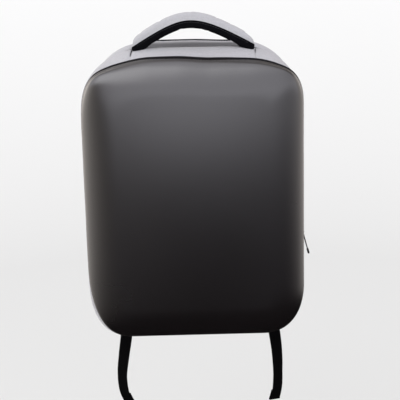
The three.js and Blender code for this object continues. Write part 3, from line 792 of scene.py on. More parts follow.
def make_band(name, node, finish, front, rear, stations, seed):
    """A cloth wall between two seams, closed all round or with sewn ends."""
    closed = len(stations) == STATIONS
    outer, inner = [], []
    for y in band_depths(front, rear):
        full = ring(float(y))
        points, away = full[stations], outward(full)[stations]
        edge = np.full(len(stations), min(y - front, rear - y))
        if not closed:
            along = lengths_along(points)
            edge = np.minimum(edge, np.minimum(along, along[-1] - along))
        lift = cloth_lift(points, edge, seed)
        outer.append(points + away * lift[:, None])
        inner.append(points - away * CLOTH)
    rows = np.stack(outer + inner[::-1], axis=1)
    obj = piece(name, [loft(rows, closed_path=closed)], finish, node)
    middle = ring((front + rear) / 2)[stations]


# Zip teeth

TOOTH_PITCH = 1.45
TOOTH_LENGTH = 3.4
TOOTH_RADIUS = 0.62
TOOTH_STAGGER = 0.55
TOOTH_LEAN = 0.12
TOOTH_SIDES = 8


def make_zip_teeth():
    full = ring(float(ZIP_MIDDLE))
    points = (full + outward(full) * (GAP + TOOTH_RADIUS))[ZIP_RUN]
    spots = spaced(points, round(lengths_along(points)[-1] / TOOTH_PITCH), last=True)
    side = np.where(np.arange(len(spots)) % 2, 1, -1)
    spots[:, 1] += side * TOOTH_STAGGER
    axes = Y_AXIS + TOOTH_LEAN * unit(np.gradient(spots, axis=0)) * side[:, None]
    teeth = capsules(spots, axes, TOOTH_LENGTH, TOOTH_RADIUS, TOOTH_SIDES)
    piece("zip_teeth", [teeth], BLACK_PLASTIC, "zip_coil")


# Back panel

# Inset from the outline and distance behind the front face
BACK_EDGE = ((1.0, 0.0), (0.5, 1.5), (0.5, 4.0), (1.4, 5.8), (4.0, 7.5), (9.0, 8.7), (16.0, 9.0))
BACK_FRONT_ROWS = 5
BACK_MIDDLE_INSET = 24
BACK_SEAM_ROWS = (17.5, 19, 20, 21, 22.5, BACK_MIDDLE_INSET)
BACK_ROWS = 26
CHANNEL_HALF = 12
CHANNEL_DEPTH = 4.2
CHANNEL_SPAN = 150
CHANNEL_END = 25
BACK_SEAM_INSET = 20
BACK_SEAM_DEPTH = 1.5
BACK_SEAM_WIDTH = 2.2
DIMPLE_DEPTH = 0.225
DIMPLE_SIZE = 30
DIMPLE_SEED = 8
BACK_HELD = 1.1
BACK_REACH = 1.2


def back_relief(points, inset):
    """How far the padded back sinks below its plain face: an air channel, a sewn border and soft dimples."""
    x, z = points[:, 0], points[:, 2]
    fade = smooth_step(np.abs(z), CHANNEL_SPAN, CHANNEL_SPAN - CHANNEL_END)
    channel = CHANNEL_DEPTH * np.exp(-((x / CHANNEL_HALF) ** 4)) * fade
    seam = BACK_SEAM_DEPTH * np.exp(-(((inset - BACK_SEAM_INSET) / BACK_SEAM_WIDTH) ** 2))
    return np.maximum(channel, seam) + DIMPLE_DEPTH * (1 + wander(points, DIMPLE_SIZE, DIMPLE_SEED))


def back_ring(inset, share=1.0):
    """Every other point of the back panel's outline, or that drawn to its middle."""
    return ring(REAR_SEAM, float(inset))[::2] * share


def make_back_panel():
    rows = []

    def add_row(points, y):
        points[:, 1] = y
        rows.append(points)

    for share in np.linspace(0, 1, BACK_FRONT_ROWS):
        add_row(back_ring(BACK_EDGE[0][0], share), BACK_FRONT)
    for inset, behind in BACK_EDGE[1:]:
        add_row(back_ring(inset), BACK_FRONT + behind)
    soft = [(back_ring(inset), inset) for inset in BACK_SEAM_ROWS]
    soft += [(back_ring(BACK_MIDDLE_INSET, share), math.inf) for share in np.linspace(1, 0, BACK_ROWS)[1:]]
    for points, inset in soft:
        add_row(points, BACK_REAR - back_relief(points, inset))
    face = np.stack([points[:, 1] for points in rows])
    first_soft = BACK_FRONT_ROWS + len(BACK_EDGE)
    sewn = np.ones(face.shape, bool)
    sewn[first_soft:] = BACK_REAR - face[first_soft:] > BACK_HELD
    obj = piece("back_pad", [loft(rows)], SPACER_MESH, "back_panel", sewn=sewn.ravel())
    swell(obj, BACK_REACH)
    return obj


# Bands along a path

def curve(points, count):
    """Points along a centripetal Catmull-Rom curve, even in its parameter."""
    points = np.asarray(points, float)
    padded = np.concatenate([[2 * points[0] - points[1]], points, [2 * points[-1] - points[-2]]])
    found = []
    for place_on in np.linspace(0, len(points) - 1, count):
        k = min(int(place_on), len(points) - 2)
        a, b, c, d = padded[k:k + 4]
        s0, s1, s2 = (max(np.linalg.norm(q - p) ** 0.5, TINY) for p, q in ((a, b), (b, c), (c, d)))
        slope_b = ((b - a) / s0 - (c - a) / (s0 + s1) + (c - b) / s1) * s1
        slope_c = ((c - b) / s1 - (d - b) / (s1 + s2) + (d - c) / s2) * s1
        found.append(hermite(place_on - k, b, c, slope_b, slope_c))
    return np.array(found)


def path_frames(points, across):
    """Wide and outward directions at each point of a path, from the way its width lies."""
    along = unit(np.gradient(points, axis=0))
    wide = unit(across - along * (across * along).sum(axis=1, keepdims=True))
    return wide, np.cross(wide, along)


def ribbon(points, across, sections):
    """A solid band: sections of (across, outward) points set square to the path."""
    wide, out = path_frames(points, across)
    sections = np.asarray(sections, float)
    return loft(points[:, None] + sections[..., :1] * wide[:, None] + sections[..., 1:] * out[:, None])


# Handle

HANDLE_X = 2
HANDLE_Y = 45
HANDLE_LEAN = -2.5
HANDLE_CROWN_Z = 242.6
HANDLE_LEFT_SLOPE = 0.685
HANDLE_RIGHT_SLOPE = 0.62
HANDLE_CROWN_RADIUS = 26
HANDLE_STEPS = 130
HANDLE_UPPER = {
    "width": 30, "thickness": 10, "thinning": 2, "left": -81, "right": 84, "left_end": 7, "right_end": 15,
    "side": 1, "round": 0.55, "flare": 0, "slack": 0.95, "reach": 1.5,
}
HANDLE_LOWER = {
    "width": 27, "thickness": 10.6, "thinning": 0, "left": -82, "right": 84.5, "left_end": 5, "right_end": 5,
    "side": -1, "round": 0.4, "flare": 3.5, "slack": 0.98, "reach": 0.4,
}
HANDLE_FOOT = (52, 80)
HANDLE_END_HEIGHT = 0.35
HANDLE_END_WIDTH = 0.75
HANDLE_UNEVEN = 0.03
HANDLE_WANDER = 26
HANDLE_SEAM_SHARE = 0.02
HANDLE_HELD = 12
PILLOW_STEPS = 22
PILLOW_SEAT = np.linspace(-0.94, 0.94, 9)


def handle_seam(x):
    """Height of the seam between the handle's layers, x from the handle's middle."""
    from_crown = x - HANDLE_LEAN
    flank = from_crown * np.where(from_crown < 0, HANDLE_LEFT_SLOPE, HANDLE_RIGHT_SLOPE)
    return HANDLE_CROWN_Z - (np.hypot(HANDLE_CROWN_RADIUS, flank) - HANDLE_CROWN_RADIUS)


def pillow(width, roundness):
    """Half of a padded section, flat on its seam and crowned: places across and shares of the thickness."""
    angles = np.linspace(0, math.pi, PILLOW_STEPS)
    across = width / 2 * signed_power(np.cos(angles), roundness)
    crest = np.sin(angles).clip(0) ** roundness
    return np.append(across, PILLOW_SEAT * width / 2), np.append(crest, np.zeros(len(PILLOW_SEAT)))


def strip_height(x, y):
    """Height of the top strip's cloth at a place on it."""
    crown_points = ring(float(y))[:CROWN_STEPS + 1][::-1]
    return np.interp(x, crown_points[:, 0], crown_points[:, 2])


def make_handle_layer(name, node, finish, layer, seed):
    """A padded layer whose sections stand upright, so that its ends meet the body square."""
    x = np.linspace(layer["left"], layer["right"], HANDLE_STEPS)
    seam = handle_seam(x)
    left_end = np.clip((x - x[0]) / layer["left_end"], 0, 1)
    right_end = np.clip((x[-1] - x) / layer["right_end"], 0, 1)
    rounding = np.sqrt(1 - (1 - np.minimum(left_end, right_end)) ** 2)
    thickness = layer["thickness"] - layer["thinning"] * np.clip(x, 0, None) / layer["right"]
    thickness = thickness + layer["flare"] * smooth_step(np.abs(x), *HANDLE_FOOT)
    path = np.stack([x, np.full_like(x, HANDLE_Y), seam], axis=1)
    plump = layer["slack"] * (1 + HANDLE_UNEVEN * wander(path, HANDLE_WANDER, seed))
    end_height = HANDLE_END_HEIGHT + (1 - HANDLE_END_HEIGHT) * rounding
    height = thickness * np.hypot(1, np.gradient(seam, x)) * end_height * plump
    end_width = HANDLE_END_WIDTH + (1 - HANDLE_END_WIDTH) * rounding
    across, crest = pillow(layer["width"], layer["round"])
    rows = []
    for place_x, z, rise, narrow in zip(HANDLE_X + x, seam, height, end_width):
        lift = layer["side"] * (GAP / 2 + crest * (rise - GAP / 2))
        y = HANDLE_Y + across * narrow
        seat = np.array([strip_height(place_x, depth) for depth in y]) + GAP
        rows.append(np.stack([np.full_like(y, place_x), y, np.maximum(z + lift, seat)], axis=1))
    sewn = np.zeros((len(rows), len(across)), bool)
    sewn[:, crest < HANDLE_SEAM_SHARE] = True
    sewn[np.minimum(x - x[0], x[-1] - x) < HANDLE_HELD] = True
    obj = piece(name, [loft(rows)], finish, node, sewn=sewn.ravel())
    swell(obj, layer["reach"])
    return obj


# Shoulder straps: x, y, z and width along the right one
STRAP_ROWS = np.array([
    [50, 127.1, 190, 58],
    [51, 128.7, 170, 60],
    [54, 137, 146, 62],
    [60, 158, 110, 62],
    [68, 176, 64, 60],
    [76, 185, 14, 57],
    [84, 184, -32, 50],
    [92, 172, -68, 38],
    [98, 160, -94, 30],
])
STRAP_STEPS = 97
STRAP_HALF_THICKNESS = 6

# Half of a strap's face: inset from the edge and height, then shares of the half width at the crown
STRAP_EDGE = ((0, 1.2), (0.7, 1.8), (2.6, 1.9), (3.3, 1.5), (4.2, 2.4), (6.5, 4.1), (10, 5.3))
STRAP_CROWN = (0.5, 0.165)
STRAP_CROWN_HEIGHT = 5.95
STRAP_SEWN = 16
STRAP_TIP = 14
STRAP_SEWN_THICKNESS = 0.4
STRAP_TAPER_POWER = 0.6
STRAP_UNEVEN = 0.04
STRAP_WANDER = 34
STRAP_SEED = 21
STRAP_BINDING = 3.5
STRAP_HELD = 26
STRAP_REACH = 1.0


def strap_section(width):
    edge = width / 2
    half = [(edge - inset, height) for inset, height in STRAP_EDGE]
    half += [(edge * share, STRAP_CROWN_HEIGHT) for share in STRAP_CROWN]
    top = half + [(-w, n) for w, n in reversed(half)]
    return np.array(top + [(w, -n) for w, n in reversed(top)])


def strap_path(side, steps=STRAP_STEPS):
    rows = STRAP_ROWS * [side, 1, 1, 1]
    widths = np.interp(np.linspace(0, len(rows) - 1, steps), range(len(rows)), rows[:, 3])
    return curve(rows[:, :3], steps), widths


def make_strap(label, side):
    points, widths = strap_path(side)
    along = lengths_along(points)
    sections = []
    for place_on, width, soft in zip(along, widths, wander(points, STRAP_WANDER, STRAP_SEED + side)):
        sewn = np.clip(place_on / STRAP_SEWN, 0, 1)
        tip = np.clip((along[-1] - place_on) / STRAP_TIP, 0, 1)
        thin = STRAP_SEWN_THICKNESS + (1 - STRAP_SEWN_THICKNESS) * min(sewn, tip) ** STRAP_TAPER_POWER
        section = strap_section(width) * [1, thin * (1 + STRAP_UNEVEN * soft)]
        sunk = (1 - sewn**STRAP_TAPER_POWER) * (1 - STRAP_SEWN_THICKNESS)
        sections.append(section - [0, sunk * STRAP_HALF_THICKNESS])
    sewn = np.zeros((len(points), len(sections[0])), bool)
    sewn[:, np.abs(strap_section(widths[0])[:, 0]) > widths[0] / 2 - STRAP_BINDING] = True
    sewn[np.minimum(along, along[-1] - along) < STRAP_HELD] = True
    surface = ribbon(points, X_AXIS, sections)
    obj = piece(f"strap_pad_{label}", [surface], STRAP_CLOTH, f"strap_{label}", sewn=sewn.ravel())
    swell(obj, STRAP_REACH)
    return obj


# Locks at the straps' lower ends

LOCK_WIDTH = 30
LOCK_LENGTH = 19
LOCK_THICKNESS = 5
LOCK_SIDE = 3.6
LOCK_TOP_BAR = 4.5
LOCK_LOWER_BAR = 6
LOCK_CORNER = 3
LOCK_WINDOW_CORNER = 1.2
LOCK_STEPS = 64
LOCK_CURVE_STEPS = 25
CORNER_POINTS = 9

# Upper half of the frame's section: share of the way to the window and of the half thickness
LOCK_PROFILE = [(0, 0.62), (0.12, 0.93), (0.35, 1), (0.65, 1), (0.88, 0.93), (1, 0.62)]
GRIP_LINES = np.array([1.6, 3.0, 4.4])
GRIP_RADIUS = 0.5
GRIP_SIDES = 8


class LockFrame:
    """The lock's own directions: across the strap, along it and outward."""

    def __init__(self, side):
        end, before = strap_path(side, LOCK_CURVE_STEPS)[0][[-1, -2]]
        self.along = unit(end - before)
        self.across = unit(X_AXIS - self.along * self.along[0])
        self.out = np.cross(self.across, self.along)
        self.origin = end + self.along * GAP

    def at(self, points):
        """From (across, along, outward) to the bag's own axes."""
        w, a, n = np.moveaxis(np.asarray(points, float), -1, 0)
        return self.origin + w[..., None] * self.across + a[..., None] * self.along + n[..., None] * self.out


def rounded_box(half_width, start, end, radius):
    """A rounded rectangle in the (across, along) plane, evenly spaced."""
    loop = []
    corners = ((1, 1, 0), (-1, 1, 90), (-1, -1, 180), (1, -1, 270))
    middle, half_length = (start + end) / 2, (end - start) / 2
    for side, end_side, turn in corners:
        for angle in np.radians(turn + np.linspace(0, 90, CORNER_POINTS)):
            across = side * (half_width - radius) + radius * math.cos(angle)
            along = middle + end_side * (half_length - radius) + radius * math.sin(angle)
            loop.append((across, along))
    loop.append(loop[0])
    return spaced(np.array(loop), LOCK_STEPS)


def make_lock(label, lock):
    bar_top = LOCK_LENGTH - LOCK_LOWER_BAR
    window_half = LOCK_WIDTH / 2 - LOCK_SIDE
    outer = rounded_box(LOCK_WIDTH / 2, 0, LOCK_LENGTH, LOCK_CORNER)
    inner = rounded_box(window_half, LOCK_TOP_BAR, bar_top, LOCK_WINDOW_CORNER)
    half = LOCK_THICKNESS / 2
    lower = [(share, -height) for share, height in reversed(LOCK_PROFILE)]
    profile = lower[-1:] + LOCK_PROFILE + lower[:-1]
    rows = []
    for a, b in zip(outer, inner):
        rows.append([(*(a + (b - a) * share), half * height) for share, height in profile])
    spots = lock.at([(0, line, half) for line in bar_top + GRIP_LINES])
    grips = capsules(spots, np.tile(lock.across, (len(spots), 1)), 2 * window_half, GRIP_RADIUS, GRIP_SIDES)
    surfaces = [loft(lock.at(rows), closed_path=True), grips]
    piece(f"ladder_lock_{label}", surfaces, BLACK_PLASTIC, f"lock_{label}")


# Webbing

WEBBING_WIDTH = 20
WEBBING_THICKNESS = 1.4

# The sewn foot on the right: x, lift off the back panel and z
SEWN_ROWS = np.array([[116, 0, -184], [116, 0, -166], [115, 2.5, -154]])

# The free tail: z, y, how far out it hangs on the left and on the right, and its twist in degrees
TAIL_ROWS = np.array([
    [-152, 158, 104, 106, 5],
    [-204, 152, 108, 114, 14],
    [-256, 143, 114.6, 123, 22],
    [-288, 140, 119.6, 126.7, 30],
    [-322, 139, 123.6, 128, 38],
    [-352, 140, 121.2, 127, 34],
    [-372, 142, 114, 123, 28],
])
LEAD_STEPS = 14
TAIL_STEPS = 120
TURN = {"lead": 4, "entry": 2, "shoulder": 0.9, "tuck": 0.2, "over": 0.8, "half": 1.4, "slack": 0.1}

# Places across the webbing and its share of the thickness there
WEBBING_PROFILE = np.array([
    (-1, 0.45), (-0.96, 0.85), (-0.86, 1), (-0.4, 1), (0, 1), (0.4, 1), (0.86, 1), (0.96, 0.85), (1, 0.45)])
HEM_LENGTH = 20
HEM_LAYERS = 2.6
HEM_STEP = 1.2
HEM_WIDER = 0.5


def webbing_turn(lock):
    """The webbing's way round the lock's lower bar."""
    bar_top = LOCK_LENGTH - LOCK_LOWER_BAR
    clear = LOCK_THICKNESS / 2 + GAP + WEBBING_THICKNESS / 2 + TURN["slack"]
    over = bar_top - GAP - WEBBING_THICKNESS / 2 - TURN["over"]
    inner = [
        (LOCK_LENGTH + TURN["lead"], -clear), (bar_top + TURN["entry"], -clear),
        (bar_top - TURN["shoulder"], TURN["tuck"] - clear), (over, -TURN["half"])]
    outer = [(down, -out) for down, out in reversed(inner)]
    return lock.at([(0, down, out) for down, out in inner + outer])


def webbing_path(side, lock):
    """The webbing's middle line from its sewn foot to its free end, with the way its width lies."""
    seat = BACK_REAR + GAP + WEBBING_THICKNESS / 2
    foot = SEWN_ROWS * [side, 1, 1] + [0, seat, 0]
    turn = webbing_turn(lock)
    z, y, left, right, twist = TAIL_ROWS.T
    tail = np.stack([side * (left if side < 0 else right), y, z], axis=1)
    hanging = curve(np.concatenate([turn[-1:], tail]), TAIL_STEPS)[1:]
    along_rows = np.linspace(0, len(tail), TAIL_STEPS)[1:]
    angles = np.radians(np.interp(along_rows, range(len(tail) + 1), [0, *twist]))
    lead = spaced(np.concatenate([foot, turn[:1]]), LEAD_STEPS)
    across = np.concatenate([
        np.tile(X_AXIS, (LEAD_STEPS, 1)), np.tile(lock.across, (len(turn), 1)),
        np.stack([np.cos(angles), side * np.sin(angles), 0 * angles], axis=1)])
    return np.concatenate([lead, turn, hanging]), across


def webbing_section(width, inner, outer):
    """A flat section with soft edges, between two heights."""
    top = WEBBING_PROFILE * [width / 2, (outer - inner) / 2]
    middle = [0, (inner + outer) / 2]
    return np.concatenate([middle + top, middle + top[::-1] * [1, -1]])


def make_webbing(label, side, lock):
    points, across = webbing_path(side, lock)
    along = lengths_along(points)
    face = WEBBING_THICKNESS / 2
    sections = []
    for place_on in along:
        hem = np.clip((place_on - along[-1] + HEM_LENGTH) / HEM_STEP, 0, 1)
        outer = face + hem * WEBBING_THICKNESS * (HEM_LAYERS - 1)
        sections.append(webbing_section(WEBBING_WIDTH + HEM_WIDER * hem, -face, outer))
    obj = piece(f"web_{label}", [ribbon(points, across, sections)], WEBBING, f"webbing_{label}")


# Zip slider and puller

PIN = np.array([158.32, 71.0, -68.0])
PIN_HEIGHT = 2.5
PIN_RADIUS = 0.8
PIN_SIDES = 12
SLIDER_BASE = 1.6
SLIDER_HALF = (4, 5.5)
SLIDER_STEPS = 40
SLIDER_POWERS = (0.45, 0.6)
SLIDER_WAIST = 0.16

# Height over the tape and share of the plate's size
SLIDER_PROFILE = ((0, 0.86), (0.3, 0.98), (1.1, 1.0), (1.45, 0.93), (SLIDER_BASE, 0.82))

# Height from the pin and half depth of a post
POST_PROFILE = ((-PIN_HEIGHT - 0.4, 2.0), (-1.2, 1.5), (0, 1.1), (0.7, 0.95), (1.1, 0.5))
POST_THICKNESS = 1.2
POST_POWERS = (0.5, 0.7)
EYE_WIDTH = 4
EYE_RADIUS = 2.1
EYE_CLEARANCE = 0.35
EYE_HALF = (0.47, 1.75)
EYE_STEPS = 28
EYE_SIDES = 10
ROUND_SIDES = 16
PULL_TILT = math.radians(15)
PULL_LENGTH = 35
PULL_GRIP = 27.5
PULL_RIBS = 11

# Distance from the pin, half thickness and half width of the puller's shank and tip. The ribs between them
# take two sizes in turn.
PULL_SHANK = [
    (1.75, 0.5, 1.2), (2.4, 0.85, 1.7), (4, 0.9, 1.6), (PULL_GRIP / 2, 0.9, 1.5), (PULL_GRIP - 1, 0.9, 1.5)]
PULL_RIB_SIZES = ((1.5, 1.75), (1.7, 1.95))
PULL_RIB_END = 1.6
PULL_TIP = [(PULL_LENGTH - 1.1, 1.55, 1.8), (PULL_LENGTH - 0.4, 1.15, 1.4), (PULL_LENGTH, 0.4, 0.6)]


def make_slider():
    """A shield-shaped plate with two posts and the pin that the puller hangs on."""
    half_width, half_length = SLIDER_HALF
    shield = oval((0, 0, 0), half_width * Y_AXIS, half_length * Z_AXIS, SLIDER_STEPS, SLIDER_POWERS)
    shield[:, 1] *= 1 - SLIDER_WAIST + SLIDER_WAIST * np.sin(loop_angles(SLIDER_STEPS))
    tape = PIN - X_AXIS * (PIN_HEIGHT + SLIDER_BASE)
    surfaces = [loft([tape + X_AXIS * height + grow * shield for height, grow in SLIDER_PROFILE])]
    thick = POST_THICKNESS / 2
    for side in (-1, 1):
        foot = PIN + side * (EYE_WIDTH / 2 + GAP + thick) * Y_AXIS
        surfaces.append(loft([
            oval(foot + x * X_AXIS, thick * Y_AXIS, deep * Z_AXIS, ROUND_SIDES, POST_POWERS)
            for x, deep in POST_PROFILE]))
    surfaces.append(capsules([PIN], [Y_AXIS], EYE_WIDTH + 2 * POST_THICKNESS, PIN_RADIUS, PIN_SIDES))
    piece("slider_body", surfaces, DARK_METAL, "zip_slider")


def make_puller():
    """A slim moulded puller: a flat eye on the pin, a thin shank and a ribbed grip."""
    down = np.array([math.sin(PULL_TILT), 0, -math.cos(PULL_TILT)])
    side = np.array([math.cos(PULL_TILT), 0, math.sin(PULL_TILT)])
    eye_middle = (EYE_RADIUS + PIN_RADIUS + EYE_CLEARANCE) / 2
    wall, deep = EYE_HALF
    spokes = oval((0, 0, 0), side, down, EYE_STEPS)
    eye = [oval(PIN + spoke * eye_middle, spoke * wall, Y_AXIS * deep, EYE_SIDES) for spoke in spokes]
    ribs = np.linspace(PULL_GRIP, PULL_LENGTH - PULL_RIB_END, PULL_RIBS)
    profile = PULL_SHANK + [(reach, *PULL_RIB_SIZES[k % 2]) for k, reach in enumerate(ribs)] + PULL_TIP
    shank = [
        oval(PIN + down * reach, side * thick, Y_AXIS * wide, ROUND_SIDES) for reach, thick, wide in profile]
    surfaces = [loft(eye, closed_path=True), loft(shank)]
    piece("puller_grip", surfaces, BLACK_PLASTIC, "zip_pull", body="puller")


# Stitches

STITCH_LENGTH = 2.5
STITCH_PITCH = 3.5
STITCH_RADIUS = 0.3
STITCH_STAND = 0.12
STITCH_INSET = 2.6
HANDLE_STITCHED = 74
HANDLE_STITCH_STAND = 1
STRAP_STITCH_INSET = 1.7
STRAP_STITCH_STAND = 2.5
STRAP_STITCHED = slice(8, -4)

# The black binding's tails in the strip's end seams, dark cords that also stand as painted shade in the
# seams' creases: station, front depth and radius
BINDING_TAILS = ((LEFT_SEAM, 18, 0.9), (0, 24, 0.6))
BINDING_REAR = 36
BINDING_STEPS = 14
BINDING_SIDES = 8
BINDING_THINNING = 0.6


def stitch_row(points, away):
    """Stitches along a line of points, each lying on the cloth."""
    count = max(2, round(lengths_along(points)[-1] / STITCH_PITCH))
    spots = spaced(np.concatenate([points, away], axis=1), count, last=True)
    middle, up = spots[:, :3], unit(spots[:, 3:])
    along = np.gradient(middle, axis=0)
    return capsules(middle + up * STITCH_STAND, along, STITCH_LENGTH, STITCH_RADIUS)


def band_stitches(y, stations, seed):
    """A row beside a seam of the body, on the cloth of the band with that seed."""
    full = ring(float(y))
    points, away = full[stations], outward(full)[stations]
    lift = cloth_lift(points, np.full(len(stations), STITCH_INSET), seed)
    return stitch_row(points + away * lift[:, None], away)


def handle_stitches(grip):
    """A row on each face of the lower layer, a little below the seam."""
    x = np.linspace(-HANDLE_STITCHED, HANDLE_STITCHED, HANDLE_STEPS)
    z = handle_seam(x) - STITCH_INSET
    out = HANDLE_LOWER["width"] / 2 + HANDLE_STITCH_STAND
    lines = [np.stack([HANDLE_X + x, np.full_like(x, HANDLE_Y + face * out), z], axis=1) for face in (-1, 1)]
    return [stitch_row(*seated(grip, line)) for line in lines]


def strap_stitches(side, strap):
    """A row along each edge of a strap's outer face."""
    points, widths = strap_path(side)
    wide, out = path_frames(points, X_AXIS)
    rows = []
    for edge in (-1, 1):
        beside = wide * (edge * (widths / 2 - STRAP_STITCH_INSET))[:, None]
        line = points + beside + out * STRAP_STITCH_STAND
        rows.append(stitch_row(*seated(strap, line[STRAP_STITCHED])))
    return rows


def back_stitches(back):
    """A row in the sewn border's groove, all round the back panel."""
    points = ring(REAR_SEAM, float(BACK_SEAM_INSET)).copy()
    points[:, 1] = BACK_REAR - BACK_SEAM_DEPTH
    return stitch_row(*seated(back, np.concatenate([points, points[:1]])))


def binding_and_crease_shade_tail(station, front, radius):
    """The handle's black binding where it runs on into the strip's end seam and thins out, a dark cord that
    is partly painted shade of the seam's crease.
    """
    rings = [ring(float(y)) for y in np.linspace(BINDING_REAR, front, BINDING_STEPS)]
    points = np.array([full[station] - outward(full)[station] * SEAM_PULL for full in rings])
    circle = oval((0, 0), (1, 0), (0, 1), BINDING_SIDES)
    shares = np.linspace(0, 1, BINDING_STEPS)
    sections = [circle * radius * (1 - BINDING_THINNING * share) for share in shares]
    return ribbon(points, X_AXIS, sections)


def make_stitching(grip, straps, back):
    """Rows of thread beside the seams: grey on the body, charcoal on the handle, the straps and the back."""
    grey = [
        band_stitches(ZIP_FRONT - STITCH_INSET, ZIP_RUN, GUSSET_SEED),
        band_stitches(ZIP_REAR + STITCH_INSET, ZIP_RUN, REAR_SEED),
        band_stitches(REAR_SEAM - STITCH_INSET, WHOLE_RUN, REAR_SEED),
    ]
    piece("grey_stitches", grey, GREY_THREAD)
    dark = handle_stitches(grip)
    for side, strap in straps.items():
        dark += strap_stitches(side, strap)
    dark.append(back_stitches(back))
    dark += [binding_and_crease_shade_tail(*tail) for tail in BINDING_TAILS]
    piece("dark_stitches", dark, DARK_THREAD)


# Stage, light and camera, in the frame's metres

FLOOR_Z = -0.95
FLOOR_HALF = 200
FLOOR_NEAR = 2.0
# Far and near colours of the floor; the darker near colour is painted shade round the bag
FLOOR_FAR_COLOUR = (0.93, 0.952, 0.92)
FLOOR_SHADED_NEAR_COLOUR = (0.748, 0.764, 0.736)
CAMERA_PLACE = Vector((-0.002, -1.2094, 0.0583))
CAMERA_AIM = Vector((0.00551, -0.045, -0.23056))
CAMERA_ROLL = math.radians(-1.33)
CAMERA_FOCAL = 78.57
CAMERA_REACH = 1000
SENSOR_WIDTH = 36
LAMP_PLACE = Vector((-0.93, -1.6, 1.7))
LAMP_AIM = Vector((0, 0, -0.2))
LAMP_SIZE = 1.9
LAMP_POWER = 11

# Lights of the room. Each rises over spans of a direction and falls by an amount over others.
# Straight ahead of the bag is turn -1 and straight behind it is turn 1. side runs from -1 on the left to 1 on
# the right, height from -1 below to 1 above, and tilted is height less a share of side.
ROOM_TILT = 0.3
ROOM_DARK = (0.015, 0.013, 0.013)
ROOM_WALL = (0.975, 0.975, 0.975)
FADING_ACROSS = [("side", -0.25, 0.05, 0.16), ("side", 0.1, 0.9, 0.24)]
FADING_HIGH = [("height", 0.25, 0.6, 0.75)]
ROOM_LEFT = {
    "colour": (1.88, 1.76, 1.66),
    "rises": {"side": (0.1, -0.3), "turn": (-1.22, 0.36), "height": (-0.8, 0.1)},
    "falls": FADING_HIGH,
}
ROOM_RIGHT = {
    "colour": (1.24, 1.15, 1.1),
    "rises": {"side": (-0.1, 0.3), "turn": (-0.85, 0.43), "height": (-0.5, -0.19)},
    "falls": FADING_HIGH,
}
ROOM_AHEAD = {
    "colour": (1.8, 1.78, 1.92),
    "rises": {"side": (-0.74, 0.03), "turn": (0.1, -0.3), "height": (-0.165, -0.03)},
    "falls": FADING_ACROSS + [("height", 0.06, 0.24, 0.13)],
}
ROOM_ABOVE = {
    "colour": (1.6, 1.58, 1.68),
    "rises": {"tilted": (0.54, 0.7)},
    "falls": FADING_ACROSS + [("turn", 0.0, 0.7, 0.75), ("height", 0.9, 1.0, 0.3)],
}


def add_object(name, data):
    obj = bpy.data.objects.new(name, data)
    bpy.context.scene.collection.objects.link(obj)
    return obj


def make_camera():
    data = bpy.data.cameras.new("camera")
    data.sensor_width = SENSOR_WIDTH
    data.lens = CAMERA_FOCAL
    data.clip_end = CAMERA_REACH
    camera = add_object("camera", data)
    forward = (CAMERA_AIM - CAMERA_PLACE).normalized()
    right = forward.cross(Vector((0, 0, 1))).normalized()
    up = right.cross(forward)
    rolled = math.cos(CAMERA_ROLL) * right + math.sin(CAMERA_ROLL) * up
    upright = math.cos(CAMERA_ROLL) * up - math.sin(CAMERA_ROLL) * right
    axes = Matrix((rolled, upright, -forward)).transposed()
    camera.matrix_world = Matrix.Translation(CAMERA_PLACE) @ axes.to_4x4()
    bpy.context.scene.camera = camera


def make_floor():
    """A wide pale floor, a little darker close by, where its colour holds painted shade."""
    shader = Shader("floor_pale", FLOOR_FAR_COLOUR, roughness=0.9, Specular_IOR_Level=0)
    flat = shader.solid_place((1, 1, 0))
    distance = shader.node("ShaderNodeVectorMath", {0: flat}, operation="LENGTH").outputs["Value"]
    nearness = shader.math("DIVIDE", FLOOR_NEAR, distance)
    shader.set("Base Color", shader.ramp(nearness, FLOOR_FAR_COLOUR, FLOOR_SHADED_NEAR_COLOUR, 0, 1))
    mesh = bpy.data.meshes.new("floor")
    corners = [(x * FLOOR_HALF, y * FLOOR_HALF, FLOOR_Z) for x, y in ((-1, -1), (1, -1), (1, 1), (-1, 1))]
    mesh.from_pydata(corners, [], [(0, 1, 2, 3)])
    mesh.materials.append(shader.material)
    floor = add_object("floor", mesh)
    floor.visible_glossy = False


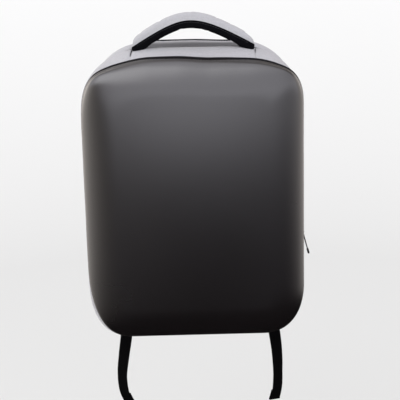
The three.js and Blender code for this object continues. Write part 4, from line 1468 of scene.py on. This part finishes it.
def make_world():
    """A bright room above and beside the bag and a dark patch low in front of it, which the panel mirrors."""
    world = bpy.data.worlds.new("room")
    bpy.context.scene.world = world
    world.use_nodes = True
    world.node_tree.nodes.clear()
    nodes = Nodes(world.node_tree)

    def rising(value, start, end):
        sockets = dict(enumerate((value, start, end, 0.0, 1.0)))
        return nodes.node("ShaderNodeMapRange", sockets, interpolation_type="SMOOTHSTEP").outputs[0]

    def falling(value, start, end, amount):
        return nodes.math("SUBTRACT", 1.0, nodes.math("MULTIPLY", rising(value, start, end), amount))

    spot = nodes.node("ShaderNodeTexCoord").outputs["Generated"]
    x, y, height = nodes.node("ShaderNodeSeparateXYZ", {0: spot}).outputs
    level = nodes.math("SQRT", nodes.math("ADD", nodes.math("MULTIPLY", x, x), nodes.math("MULTIPLY", y, y)))
    side = nodes.math("DIVIDE", x, level)
    turn = nodes.math("DIVIDE", y, level)
    tilted = nodes.math("SUBTRACT", height, nodes.math("MULTIPLY", side, ROOM_TILT))
    ways = {"side": side, "turn": turn, "height": height, "tilted": tilted}
    room = rgba(ROOM_DARK)
    for light in (ROOM_LEFT, ROOM_RIGHT, ROOM_AHEAD, ROOM_ABOVE):
        shares = [rising(ways[way], *span) for way, span in light["rises"].items()]
        shares += [falling(ways[way], *fall) for way, *fall in light["falls"]]
        room = nodes.mix(room, rgba(light["colour"]), nodes.combine("MULTIPLY", shares))
    lit, wall = (nodes.node("ShaderNodeBackground", {"Color": source}) for source in (room, rgba(ROOM_WALL)))
    seen = nodes.node("ShaderNodeLightPath").outputs["Is Camera Ray"]
    both = nodes.node("ShaderNodeMixShader", {0: seen, 1: lit.outputs[0], 2: wall.outputs[0]})
    nodes.node("ShaderNodeOutputWorld", {"Surface": both.outputs[0]})


def make_lamp():
    data = bpy.data.lights.new("ceiling_front", "AREA")
    data.size = LAMP_SIZE
    data.energy = LAMP_POWER
    lamp = add_object("ceiling_front", data)
    lamp.location = LAMP_PLACE
    lamp.rotation_mode = "QUATERNION"
    lamp.rotation_quaternion = (LAMP_AIM - LAMP_PLACE).to_track_quat("-Z", "Y")
    lamp.visible_camera = False


bpy.context.scene.view_settings.view_transform = "Standard"
make_camera()
make_floor()
make_world()
make_lamp()

make_panel()
make_piping("panel_piping", "front_piping", 0, PIPING_RADIUS + GAP, FRONT_PIPING_PROUD, seed=1)
rear_piping_y = REAR_SEAM + GAP + PIPING_RADIUS
make_piping("back_piping", "rear_piping", REAR_SEAM, rear_piping_y, REAR_PIPING_PROUD, seed=2)
for band_seed, band in enumerate(BANDS, start=1):
    make_band(*band, band_seed)
make_zip_teeth()
back_pad = make_back_panel()
make_handle_layer("handle_pad", "handle_upper", GREY_CLOTH, HANDLE_UPPER, seed=6)
handle_grip = make_handle_layer("handle_grip", "handle_lower", BLACK_CLOTH, HANDLE_LOWER, seed=7)
strap_pads = {}
for label, side in (("left", -1), ("right", 1)):
    lock = LockFrame(side)
    strap_pads[side] = make_strap(label, side)
    make_lock(label, lock)
    make_webbing(label, side, lock)
make_slider()
make_puller()
make_stitching(handle_grip, strap_pads, back_pad)
